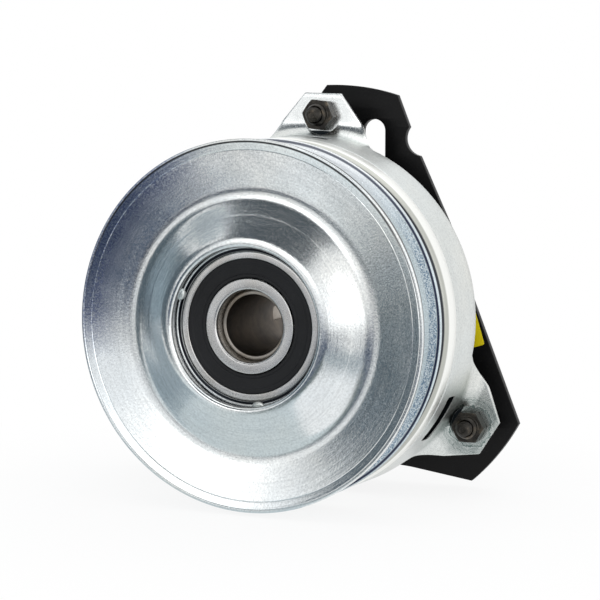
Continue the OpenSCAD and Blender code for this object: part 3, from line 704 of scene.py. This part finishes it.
def pulley_front():
    flank_top = FRONT_RIM + LIP_RISE
    slope = (VALLEY_Y - flank_top) / (LIP_R - VALLEY_OUT_R)
    crease = [(CREASE_R + off, flank_top + slope * (LIP_R - CREASE_R - off) + deep, 0.06)
              for off, deep in ((0.25, 0.0), (0.0, 0.16), (-0.25, 0.0))]
    face = [
        (RIM_R, FRONT_RIM, 0.8),
        (75.8, FRONT_RIM + 0.03, 0.1), (75.5, FRONT_RIM + 0.34, 0.06), (75.2, FRONT_RIM + 0.14, 0.1),
        (LIP_R, flank_top, 0.5), *crease,
        (VALLEY_OUT_R, VALLEY_Y, 11.7), (VALLEY_IN_R, VALLEY_Y, 8.0),
        (46.2, -51.08, 1.0), (45.7, -51.39, 1.0),
        (CREST_R, BOSS_FRONT, 7.0), (RECESS_R, BOSS_FRONT, 1.8),
    ]
    seat = [
        (RECESS_R, FRONT_BEARING - 0.6, 0.5), (RACE_R, FRONT_BEARING - 0.6, 0.3),
        (RACE_R, FRONT_BEARING_END, 0), (SEAT_LIP_R, FRONT_BEARING_END, 0.3),
        (SEAT_LIP_R, TUBE_REAR, 0.4), (TUBE_R, TUBE_REAR, 0.6), (TUBE_R, -51.6, 2.0),
    ]
    rear = [
        (VALLEY_IN_R - 3.2, VALLEY_Y + 1.1, 6.0), (VALLEY_OUT_R - 1.5, VALLEY_Y + SHEET, 6.0),
        (LIP_R + 0.3, flank_top + SHEET, 3.0), (RIM_R, FRONT_RIM + SHEET, 0.6),
    ]
    turned_piece("pulley_front_dish", "pulley", "zinc", ["pulley_front_sheet"], face + seat + rear)


def stake_marks():
    """Punched burrs that hold the bearing: small beads with a chisel notch across them."""
    count, rows = 24, 12
    parts = []
    for angle in STAKE_ANGLES:
        turn = math.radians(angle)
        verts = []
        for j in range(rows + 1):
            tilt = math.pi * j / rows
            for k in range(count):
                a = math.tau * k / count
                x = math.sin(tilt) * math.cos(a)
                y = -math.cos(tilt)
                z = math.sin(tilt) * math.sin(a)
                notch = 0.45 * math.exp(-(x / 0.22) ** 2) * max(0.0, -y)
                radial, depth, along = 1.9 * x, 1.5 * (y + notch), 2.7 * z
                r = RACE_R + 1.85 + radial
                verts.append((r * math.cos(turn) - along * math.sin(turn), FRONT_BEARING - 1.2 + depth,
                              r * math.sin(turn) + along * math.cos(turn)))
        parts.append((verts, grid(rows, count)))
    dress(new_object("bearing_stakes", *joined(*parts)), "pulley", "zinc", sharp=60.0, finish="drum_zinc")


def pulley_rear():
    rim_front = REAR_RIM - SHEET
    foot = rim_front - LIP_RISE - 5.18
    corners = [
        (REAR_RIM_R, rim_front, 0.6), (REAR_RIM_R, REAR_RIM, 0.7), (LIP_R - 0.7, REAR_RIM - LIP_RISE, 3.0),
        (57.3, foot + 2.17, 2.0), (GROOVE_R - 1.5, WEB_FRONT + SHEET, 1.5), (TUBE_R, WEB_FRONT + SHEET, 0.3),
        (TUBE_R, WEB_FRONT, 0.3), (GROOVE_R - SHEET, WEB_FRONT, 1.0),
        (GROOVE_R - SHEET, VALLEY_Y + SHEET + 0.2, 0.4), (GROOVE_R, VALLEY_Y + SHEET + 0.3, 0.4),
        (GROOVE_R, foot, 2.2), (LIP_R - 0.2, rim_front - LIP_RISE, 3.0),
    ]
    turned_piece("pulley_rear_flange", "pulley", "zinc", ["pulley_rear_sheet"], corners, "groove_zinc")


# Bearings

def bearing(name, front, outer_body, inner_body):
    half = (FRONT_BEARING_END - FRONT_BEARING) / 2
    mid = front + half
    outer_track = arc(BALL_R, mid, TRACK_R, -41, 41, 8)
    inner_track = arc(BALL_R, mid, TRACK_R, 133, 227, 8)
    rear = [(RACE_R, half, 0.9), (SEAL_GROOVE_R, half, 0.45), (SEAL_GROOVE_R, SEAL_LEDGE_Y, 0.2),
            (SEAL_LEDGE_R, SEAL_LEDGE_Y, 0.2)]
    outer = [(r, mid - y, f) for r, y, f in rear[::-1]] + [(r, mid + y, f) for r, y, f in rear]
    inner = [(BEARING_BORE_R, mid - half, 1.2), (19.7, mid - half, 0.5)] + inner_track[::-1]
    inner += [(19.7, mid + half, 0.5), (BEARING_BORE_R, mid + half, 1.2)]
    turned_piece(name + "_outer_race", outer_body, "race_steel", [name + "_bearing_outer"],
                 outer + outer_track[::-1])
    turned_piece(name + "_inner_race", inner_body, "race_steel", [name + "_bearing_inner"], inner)
    lip = [
        (20.05, 7.3, 0.15), (20.5, 7.68, 0.2), (21.3, 7.68, 0.25), (21.7, 7.3, 0.25), (22.3, 7.42, 0.5),
        (25.6, 7.42, 0.4), (26.2, 7.75, 0.3), (27.6, 7.75, 0.3), (27.95, 7.45, 0.2), (27.95, 6.7, 0),
        (20.05, 6.9, 0),
    ]
    sides = [turned([(r, mid + s * y, f) for r, y, f in lip]) for s in (-1, 1)]
    seals = new_object(name + "_seal_pair", *joined(*sides))
    dress(seals, outer_body, "seal_rubber", name + "_bearing_seals")


# Hub

def hub():
    ring_front, ring_rear = REAR_BEARING_END, REAR_BEARING_END + 1.2
    corners = [
        (BORE_R, HUB_FRONT, 0.7), (NECK_R, HUB_FRONT, 0.5), (BEARING_BORE_R, HUB_FRONT + 1.2, 0.3),
        (BEARING_BORE_R, FRONT_BEARING_END, 0.2), (HUB_R, FRONT_BEARING_END, 0.6),
        (HUB_R, REAR_BEARING, 0.6), (BEARING_BORE_R, REAR_BEARING, 0.2),
        (BEARING_BORE_R, ring_front, 0.1), (NECK_R, ring_front, 0.1), (NECK_R, ring_rear, 0.1),
        (BEARING_BORE_R, ring_rear, 0.1), (BEARING_BORE_R, HUB_REAR, 0.8), (BORE_R, HUB_REAR, 0.9),
    ]
    piece = new_object("rotor_sleeve", *turned(corners))
    reach_out = BORE_R + KEY_DEPTH
    length = HUB_REAR - KEY_START + 4
    key = block((reach_out, length, KEY_W), (-reach_out / 2, KEY_START + length / 2, 0), 0.15)
    cut(piece, new_object("key_cutter", *key))
    dress(piece, "rotor", "hub_steel", "rotor_hub")


# Brake drum

def drum_outline():
    """Outer surface of the drum sheet from its rear edge forward and in to the brake flange."""
    corner = 5.0
    wall = [(DRUM_R, DRUM_REAR), (78.1, 4.0), (77.85, -1.5), (77.6, -7.0), (77.35, -12.6)]
    turned_groove = [(77.32, -13.1), (77.12, -13.4), (77.26, -13.8)]
    front = [(r, y) for r, y, _ in arc(DRUM_CORNER_R - corner, DRUM_FRONT + corner, corner, 0, -90, 12)]
    dish = rounded([(70.5, DRUM_FRONT, 0), (67.6, DRUM_FRONT, 2.2), (63.4, FLANGE_Y, 2.0),
                    (FLANGE_R, FLANGE_Y, 0)])
    return wall + turned_groove + front + dish


def ear_rows():
    """Centre line of an ear's front face from the drum's rear edge: radius, y, straightness, half width."""
    bend_r = DRUM_R + EAR_BEND
    bend_y = EAR_Y - EAR_BEND
    line = [(DRUM_R, bend_y, 0.0)]
    for k in range(1, 13):
        a = math.radians(90 * k / 12)
        line.append((bend_r - EAR_BEND * math.cos(a), bend_y + EAR_BEND * math.sin(a), 1 - math.cos(a)))
    line += [(bend_r + (EAR_TIP_R - bend_r) * k / 6, EAR_Y, 1.0) for k in range(1, 7)]
    lengths = [bend_y - DRUM_REAR]
    for (r, y, _), (next_r, next_y, _) in zip(line, line[1:]):
        lengths.append(lengths[-1] + math.hypot(next_r - r, next_y - y))
    base = DRUM_R * math.sin(math.tau / COLUMNS * EAR_COLUMNS)
    return [(r, y, straight, base + (EAR_TIP_HALF - base) * length / lengths[-1])
            for (r, y, straight), length in zip(line, lengths)]


def drum_sheet():
    """The drum's outer skin as one grid whose columns run on into the three bent ears."""
    outline = drum_outline()
    step = math.tau / COLUMNS
    first = math.radians(STUD_ANGLES[0])
    verts = []
    for r, y in outline:
        for k in range(COLUMNS):
            a = first + k * step
            verts.append((r * math.cos(a), y, r * math.sin(a)))
    faces = grid(len(outline) - 1, COLUMNS)
    per_ear = COLUMNS // 3
    widest = math.sin(step * EAR_COLUMNS)
    for e in range(3):
        centre = first + e * per_ear * step
        below = [(e * per_ear + c) % COLUMNS for c in range(-EAR_COLUMNS, EAR_COLUMNS + 1)]
        for radius, y, straight, half in ear_rows():
            row = []
            for c in range(-EAR_COLUMNS, EAR_COLUMNS + 1):
                across = half * math.sin(step * c) / widest
                out = math.sqrt(radius ** 2 - across ** 2)
                out += (radius - out) * straight
                row.append(len(verts))
                verts.append((out * math.cos(centre) - across * math.sin(centre), y,
                              out * math.sin(centre) + across * math.cos(centre)))
            faces.extend((below[i], row[i], row[i + 1], below[i + 1]) for i in range(len(row) - 1))
            below = row
    return verts, faces


def drum():
    piece = new_object("brake_drum_shell", *drum_sheet())
    if piece.data.polygons[0].normal.dot(piece.data.polygons[0].center * Vector((1, 0, 1))) < 0:
        piece.data.flip_normals()
    skin = piece.modifiers.new("thickness", "SOLIDIFY")
    skin.thickness = DRUM_T * MM
    skin.offset = -1.0
    skin.use_even_offset = True
    bake(piece)
    soften(piece, 0.3, 50.0)
    width, depth = WINDOW
    seat = plug(SPOT_R, EAR_Y - 12, EAR_Y - 0.02)
    hole = plug(STUD_R + 0.4, EAR_Y - 3, EAR_BACK + 2)
    seats = on_studs(lambda at, a: turned(seat, 72, at))
    holes = on_studs(lambda at, a: turned(hole, 48, at))
    windows = []
    for angle in STUD_ANGLES:
        x, z = polar(DRUM_R, angle)
        windows.append(block((12, depth, width), (x, WINDOW_Y, z), 1.4, -angle))
    cut(piece, new_object("seat_cutter", *seats), new_object("hole_cutter", *holes),
        new_object("window_cutter", *joined(*windows)))
    dress(piece, "brake", "drum_zinc", "brake_drum", sharp=38.0)


# Adjusters

def nut_outline(angle):
    """A nut's outline at one angle about its stud: bore, seat, chamfered hexagon and crown."""
    flat = (angle + math.pi / 6) % (math.pi / 3) - math.pi / 6
    hexagon = min(NUT_AF / 2 / math.cos(flat), 7.3)
    bore = STUD_R + 0.05
    rise = [0.0, 0.12, 0.26, 0.42, 0.6, 0.8, 1.05]
    top = [(min(hexagon, 6.5 + 1.5 * h), NUT_TOP + h) for h in rise]
    foot = [(min(hexagon, 6.5 + 1.7 * h), NUT_SEAT - h) for h in rise[4::-1]]
    crown = [(NUT_CROWN_R - 1.0, NUT_CROWN_TOP), (NUT_CROWN_R - 0.75, NUT_CROWN_TOP + 0.08),
             (NUT_CROWN_R - 0.1, NUT_CROWN_TOP + 0.9), (NUT_CROWN_R, NUT_CROWN_TOP + 1.2),
             (NUT_CROWN_R, NUT_TOP - 0.5), (NUT_CROWN_R + 0.12, NUT_TOP - 0.2),
             (NUT_CROWN_R + 0.45, NUT_TOP)]
    lead = [(bore, NUT_SEAT), (bore, NUT_CROWN_TOP + 0.7), (bore + 0.35, NUT_CROWN_TOP + 0.15)]
    return lead + crown + top + foot


def nuts():
    for letter, angle, turn in zip("abc", STUD_ANGLES, NUT_TURN):
        clock = math.radians(turn + 30)
        verts, faces = lathe(lambda a: nut_outline(a + clock), 96, polar(STUD_PCR, angle))
        piece = new_object("lock_nut_" + letter, verts, faces)
        dress(piece, "nut_" + letter, "phosphate", "adjust_nut_" + letter, sharp=24.0)


def threaded(at, start, end, columns=48, per_pitch=8):
    """A screw thread about a line along Y, with flat ends."""
    deep = 0.61 * THREAD_PITCH
    rows = round((end - start) / THREAD_PITCH * per_pitch)
    verts = []
    for j in range(rows + 1):
        y = start + (end - start) * j / rows
        point = min(1.0, (y - start) / 0.9)
        for k in range(columns):
            phase = (y / THREAD_PITCH - k / columns) % 1.0
            crest = min(1.0, max(0.0, 1.25 * (1 - abs(2 * phase - 1)) - 0.1))
            r = min(STUD_R - deep * (1 - crest), 2.2 + (STUD_R - 2.2) * point)
            a = math.tau * k / columns
            verts.append((at[0] + r * math.cos(a), y, at[1] + r * math.sin(a)))
    faces = grid(rows, columns)
    faces.append(tuple(range(columns)))
    faces.append(tuple(range(rows * columns, (rows + 1) * columns)))
    return verts, faces


def stud(at, angle):
    """One stud: threaded front with a centre pop in its end, plain shank, collar and riveted tail."""
    shank = [
        (AXIS_R, EAR_BACK, 0), (STUD_R - 0.1, EAR_BACK, 0.2), (STUD_R - 0.1, PLATE_FRONT - 1.5, 0.1),
        (4.4, PLATE_FRONT - 1.5, 0.25), (4.4, PLATE_FRONT, 0), (STUD_R, PLATE_FRONT, 0),
        (STUD_R, PLATE_BACK, 0), (5.4, PLATE_BACK, 0.3), (4.9, STUD_END - 0.4, 1.0),
        (2.2, STUD_END, 1.5), (AXIS_R, STUD_END, 0),
    ]
    tip = [
        (AXIS_R, STUD_TIP + 0.9, 0), (0.5, STUD_TIP + 0.7, 0.2), (1.25, STUD_TIP, 0.15),
        (1.95, STUD_TIP, 0.2), (2.2, STUD_TIP + 0.5, 0), (2.0, STUD_TIP + 1.1, 0),
        (AXIS_R, STUD_TIP + 1.2, 0),
    ]
    return joined(threaded(at, STUD_TIP + 0.25, EAR_BACK + 0.1), turned(shank, 64, at), turned(tip, 64, at))


def tube(path, radius, sides=14):
    """A round wire along a path, with flat ends."""
    last = len(path) - 1
    verts = []
    side = None
    for i, point in enumerate(path):
        ahead = (path[min(i + 1, last)] - path[max(i - 1, 0)]).normalized()
        side = ahead.orthogonal() if side is None else side - ahead * side.dot(ahead)
        side.normalize()
        other = ahead.cross(side)
        for k in range(sides):
            a = math.tau * k / sides
            verts.append(tuple(point + (side * math.cos(a) + other * math.sin(a)) * radius))
    faces = grid(last, sides)
    faces.append(tuple(range(sides)))
    faces.append(tuple(range(last * sides, (last + 1) * sides)))
    return verts, faces


def spring(at, angle):
    """A compression spring whose end turns lie closed on their seats."""
    wire = SPRING_WIRE / 2
    low, high = SPRING_BASE + wire, SPRING_TOP - wire
    closed = 0.9 * SPRING_WIRE * 1.12
    rise = (high - low - 2 * closed) / (SPRING_TURNS - 2)
    per_turn = 36
    path = []
    for k in range(SPRING_TURNS * per_turn + 1):
        turns = k / per_turn
        if turns < 1:
            y = low + closed * turns ** 2
        elif turns > SPRING_TURNS - 1:
            y = high - closed * (SPRING_TURNS - turns) ** 2
        else:
            y = low + closed + rise * (turns - 1)
        a = math.tau * turns + angle
        path.append(Vector((at[0] + SPRING_R * math.cos(a), y, at[1] + SPRING_R * math.sin(a))))
    return tube(path, wire)


def adjusters():
    nuts()
    studs = new_object("threaded_studs", *on_studs(stud))
    dress(studs, "field", "phosphate", "adjuster_studs", sharp=40.0)
    springs = new_object("stud_coil_springs", *on_studs(spring))
    dress(springs, "field", "spring_steel", "adjuster_springs", sharp=50.0)


# Field and mounting plate

def plate_outline():
    """Three clipped corners on a disc, with the round bite in the upper right side."""
    notch = Vector(polar(NOTCH_R, NOTCH_ANGLE))
    count = 1440
    points = []
    for k in range(count):
        angle = NOTCH_ANGLE + 360 * k / count
        off = (angle - PLATE_CLOCK + 60) % 120 - 60
        side = PLATE_APOTHEM / max(math.cos(math.radians(60 - abs(off))), 0.01)
        radius = max(min(side, PLATE_TIP_R), PLATE_BULGE_R)
        if PLATE_FLANK[0] < -off < PLATE_FLANK[1]:
            radius = max(radius, PLATE_BULGE_R / math.cos(math.radians(off + PLATE_FLANK[1])))
        points.append(Vector(polar(radius, angle)))
    kept = [p for p in points if (p - notch).length > NOTCH_SIZE]
    start = kept[-1] - notch
    end = kept[0] - notch
    first = math.atan2(start.y, start.x)
    sweep = (math.atan2(end.y, end.x) - first) % math.tau - math.tau
    steps = 40
    for k in range(1, steps):
        a = first + sweep * k / steps
        kept.append(notch + Vector((math.cos(a), math.sin(a))) * NOTCH_SIZE)
    return [tuple(p) for p in kept]


def slot_outline():
    low, high = SLOT_Z
    radius = SLOT_W / 2
    angles = [math.pi * k / 24 for k in range(25)]
    top = [(SLOT_X + radius * math.cos(a), high + radius * math.sin(a)) for a in angles]
    foot = [(2 * SLOT_X - x, low + high - z) for x, z in top]
    return top + foot


def plate():
    holes = [circle(0, 0, PLATE_HOLE_R, 128), slot_outline()]
    holes += [circle(*polar(STUD_PCR, a), STUD_R, 48) for a in STUD_ANGLES]
    holes += [circle(*polar(RIVET_PCR, a), RIVET_R, 40) for a in RIVET_ANGLES]
    thickness = PLATE_BACK - PLATE_FRONT
    piece = sheet_plate("mounting_plate", [plate_outline()] + holes, PLATE_FRONT, thickness, 0.25)
    dress(piece, "field", "black_coat", "field_plate", sharp=30.0)


def rivets():
    dome = [
        (AXIS_R, PLATE_FRONT - 6, 0), (RIVET_R, PLATE_FRONT - 6, 0.2), (RIVET_R, PLATE_BACK, 0),
        (4.5, PLATE_BACK, 0.35), (4.1, PLATE_BACK + 1.0, 0.8), (2.6, PLATE_BACK + 1.65, 1.4),
        (0.9, PLATE_BACK + 1.8, 0.3), (0.6, PLATE_BACK + 1.55, 0.2), (AXIS_R, PLATE_BACK + 1.5, 0),
    ]
    heads = [turned(dome, 56, polar(RIVET_PCR, a)) for a in RIVET_ANGLES]
    piece = new_object("field_rivet_set", *joined(*heads))
    dress(piece, "field", "black_coat", "plate_rivets", sharp=40.0)


def label():
    width, height = LABEL_SIZE
    corner = 0.9
    tilt = math.radians(LABEL_TILT)
    outline = []
    for cx, cz, start in ((-corner, height - corner, 0), (corner - width, height - corner, 90),
                          (corner - width, corner, 180), (-corner, corner, 270)):
        for k in range(9):
            a = math.radians(start + 90 * k / 8)
            x, z = cx + corner * math.cos(a), cz + corner * math.sin(a)
            outline.append((LABEL_CORNER[0] + x * math.cos(tilt) - z * math.sin(tilt),
                            LABEL_CORNER[1] + x * math.sin(tilt) + z * math.cos(tilt)))
    piece = sheet_plate("plain_label", [outline], PLATE_FRONT - 0.2, 0.2, 0.04)
    dress(piece, "field", "yellow_label", "plate_label")


def connector():
    """Two-way inlet: a rounded block with a socket, a root flange, side ribs and a latch ramp."""
    out, root, front, rear, half = CONNECTOR
    mid_y = (front + rear) / 2
    length = root - out
    body = block((length, rear - front, 2 * half), ((out + root) / 2, mid_y, 0), 1.2)
    piece = new_object("coil_inlet", *body)
    socket = block((16, rear - front - 4, 2 * half - 4), (out + 6, mid_y, 0), 0.8)
    key = block((10, 1.6, 3.0), (out + 4, front + 1.6, 0), 0.2)
    cut(piece, new_object("socket_cutter", *socket), new_object("key_slot_cutter", *key))
    ribs = [block((length - 5, 8, 1.0), ((out + root) / 2 + 2.2, mid_y, s * half), 0.3) for s in (-1, 1)]
    collar = block((2.2, rear - front + 1.0, 2 * half + 1.6), (root - 2.2, mid_y, 0), 0.5)
    latch = block((4.0, 1.4, 6.0), (out + 8.5, rear + 0.1, 0), 0.4)
    trim = new_object("coil_inlet_ribs", *joined(*ribs, collar, latch))
    dress(piece, "field", "plastic", "connector_housing", sharp=35.0)
    dress(trim, "field", "plastic", sharp=35.0)


# Stage, light and camera

def lit_background(tree, near, far):
    """Mixes two shaders so that camera, glossy and transmission rays meet the far one."""
    path = add_node(tree, "LightPath", {}).outputs
    seen = path["Is Camera Ray"]
    for name in ("Is Glossy Ray", "Is Transmission Ray"):
        seen = add_node(tree, "Math", {0: seen, 1: path[name]}, operation="MAXIMUM").outputs[0]
    return add_node(tree, "MixShader", {0: seen, 1: near, 2: far}).outputs[0]


def world():
    made = bpy.data.worlds.new("studio")
    made.use_nodes = True
    tree = made.node_tree
    tree.nodes.clear()
    ambient = add_node(tree, "Background", {"Color": (0.97, 0.985, 1.0, 1.0), "Strength": 0.85}).outputs[0]
    white = add_node(tree, "Background", {"Color": (1.0, 1.0, 1.0, 1.0), "Strength": 1.0}).outputs[0]
    add_node(tree, "OutputWorld", {"Surface": lit_background(tree, ambient, white)})
    bpy.context.scene.world = made


def stage_tree(piece, name):
    """The empty shader tree of a new material on a stage piece."""
    material = bpy.data.materials.new(name)
    material.use_nodes = True
    material.node_tree.nodes.clear()
    piece.data.materials.append(material)
    return material.node_tree


def floor():
    """A wide pale floor that keeps the shadow near the part and fades to white away from it."""
    half = 4000.0
    verts = [(x, y, FLOOR_Z / MM) for x in (-half, half) for y in (-half, half)]
    piece = new_object("studio_floor", verts, [(0, 2, 3, 1)])
    tree = stage_tree(piece, "floor_sweep")
    paper = add_node(tree, "BsdfDiffuse", {"Color": (0.92, 0.92, 0.92, 1.0)}).outputs[0]
    glow = add_node(tree, "Emission", {"Strength": 1.0}).outputs[0]
    place = add_node(tree, "TexCoord", {}).outputs["Object"]
    distance = add_node(tree, "VectorMath", {0: place}, operation="LENGTH").outputs["Value"]
    limits = {"From Min": 0.10, "From Max": 0.25, "To Min": 0.88, "To Max": 1.0}
    fade = add_node(tree, "MapRange", {"Value": distance, **limits}, interpolation_type="SMOOTHSTEP")
    white = add_node(tree, "MixShader", {0: fade.outputs["Result"], 1: paper, 2: glow}).outputs[0]
    add_node(tree, "OutputMaterial", {"Surface": lit_background(tree, paper, white)})


def card(name, centre, width, height, normal, colour):
    """A plain studio card that only reflections see. Its width runs level."""
    facing = Vector(normal).normalized()
    level = Vector((0, 0, 1)).cross(facing)
    level = level.normalized() if level.length > 1e-6 else Vector((1, 0, 0))
    rise = facing.cross(level)
    middle = Vector(centre)
    verts = [middle + level * (u * width / 2) + rise * (v * height / 2)
             for u, v in ((-1, -1), (1, -1), (1, 1), (-1, 1))]
    piece = new_object(name, verts, [(0, 1, 2, 3)])
    tree = stage_tree(piece, name)
    tone = add_node(tree, "Emission", {"Color": (*colour, 1.0)}).outputs[0]
    add_node(tree, "OutputMaterial", {"Surface": tone})
    piece.visible_camera = False
    piece.visible_diffuse = False
    piece.visible_shadow = False


def hung(name, azimuth, elevation, width, height, colour):
    """A card hung round the part, facing it. All angles are in degrees, azimuth from straight ahead."""
    a, e = math.radians(azimuth), math.radians(elevation)
    outward = Vector((math.sin(a) * math.cos(e), -math.cos(a) * math.cos(e), math.sin(e)))
    spans = [2 * CARD_R * math.tan(math.radians(angle) / 2) for angle in (width, height)]
    card(name, outward * CARD_R, *spans, -outward, colour)


def laid(name, low, high, colour):
    """A card lying on the floor between two (x, y) corners."""
    middle = ((low[0] + high[0]) / 2, (low[1] + high[1]) / 2, FLOOR_Z / MM + 1)
    card(name, middle, high[0] - low[0], high[1] - low[1], (0, 0, 1), colour)


def cards():
    """Dark and grey flags round the part, for the tones that bright plating mirrors."""
    hung("flag_overhead", -11, 41, 50, 30, (0.08, 0.095, 0.11))
    hung("flag_left_front", -55, 4, 40, 42, (0.10, 0.13, 0.155))
    hung("card_left", -88, 18, 30, 60, (0.33, 0.415, 0.47))
    hung("card_left_high", -64, 38, 22, 18, (0.40, 0.45, 0.48))
    laid("flag_front_low", (-110, -900), (190, -255), (0.07, 0.095, 0.15))
    laid("flag_front_left", (-215, -900), (-110, -360), (0.01, 0.02, 0.05))
    laid("flag_front_right", (190, -900), (330, -390), (0.02, 0.03, 0.06))
    laid("flag_floor_left", (-760, -640), (-215, -235), (0.11, 0.14, 0.16))
    laid("card_floor_left", (-700, -160), (-90, 80), (0.32, 0.38, 0.42))
    laid("card_floor_front", (-215, -250), (-60, -160), (0.90, 0.95, 0.96))
    laid("flag_floor_front", (-60, -255), (90, -160), (0.14, 0.17, 0.165))
    laid("card_floor_near", (-112, -160), (25, 0), (0.64, 0.70, 0.72))
    laid("card_floor_right", (100, -250), (170, -150), (0.36, 0.41, 0.44))


def softbox(name, place, width, height, radiance):
    """An area lamp aimed at the part, given the brightness of its face."""
    lamp = bpy.data.lights.new(name, "AREA")
    lamp.shape = "RECTANGLE"
    lamp.size = width
    lamp.size_y = height
    lamp.energy = radiance * math.pi * width * height
    made = linked(name, lamp)
    made.location = place
    made.rotation_euler = (-Vector(place)).to_track_quat("-Z", "Y").to_euler()


def lights():
    softbox("key", (-0.16, -1.29, 0.45), 0.88, 0.46, 1.08)
    softbox("overhead", (0.2, 0.1, 1.5), 1.5, 1.5, 0.55)
    softbox("right_fill", (1.05, -0.95, 0.3), 0.9, 0.7, 1.1)


def camera():
    """The photograph's view: the camera's place and the direction it looks back along."""
    azimuth, elevation = math.radians(23.49), math.radians(5.314)
    focal_px, image_px = 1714.8, 600
    back = Vector((math.sin(azimuth) * math.cos(elevation), -math.cos(azimuth) * math.cos(elevation),
                   math.sin(elevation)))
    data = bpy.data.cameras.new("camera")
    data.sensor_width = 36.0
    data.lens = focal_px / image_px * data.sensor_width
    made = linked("camera", data)
    made.location = (0.29775, -0.68253, 0.07591)
    made.rotation_euler = (-back).to_track_quat("-Z", "Y").to_euler()
    bpy.context.scene.camera = made


def dress_frame():
    """Gives every CAD node that still shows the finish of its slot in the record."""
    for part in frame["record"]["subparts"]:
        node = frame["nodes"][part["node"]]
        if node.hide_render:
            continue
        node.data.materials.clear()
        node.data.materials.append(MATERIALS[part["material_slot"]])


camera()
world()
floor()
cards()
lights()
pulley_front()
stake_marks()
pulley_rear()
bearing("front", FRONT_BEARING, "pulley", "rotor")
bearing("rear", REAR_BEARING, "field", "rotor")
hub()
drum()
adjusters()
plate()
rivets()
label()
connector()
dress_frame()

bpy.context.scene.view_settings.view_transform = "Standard"
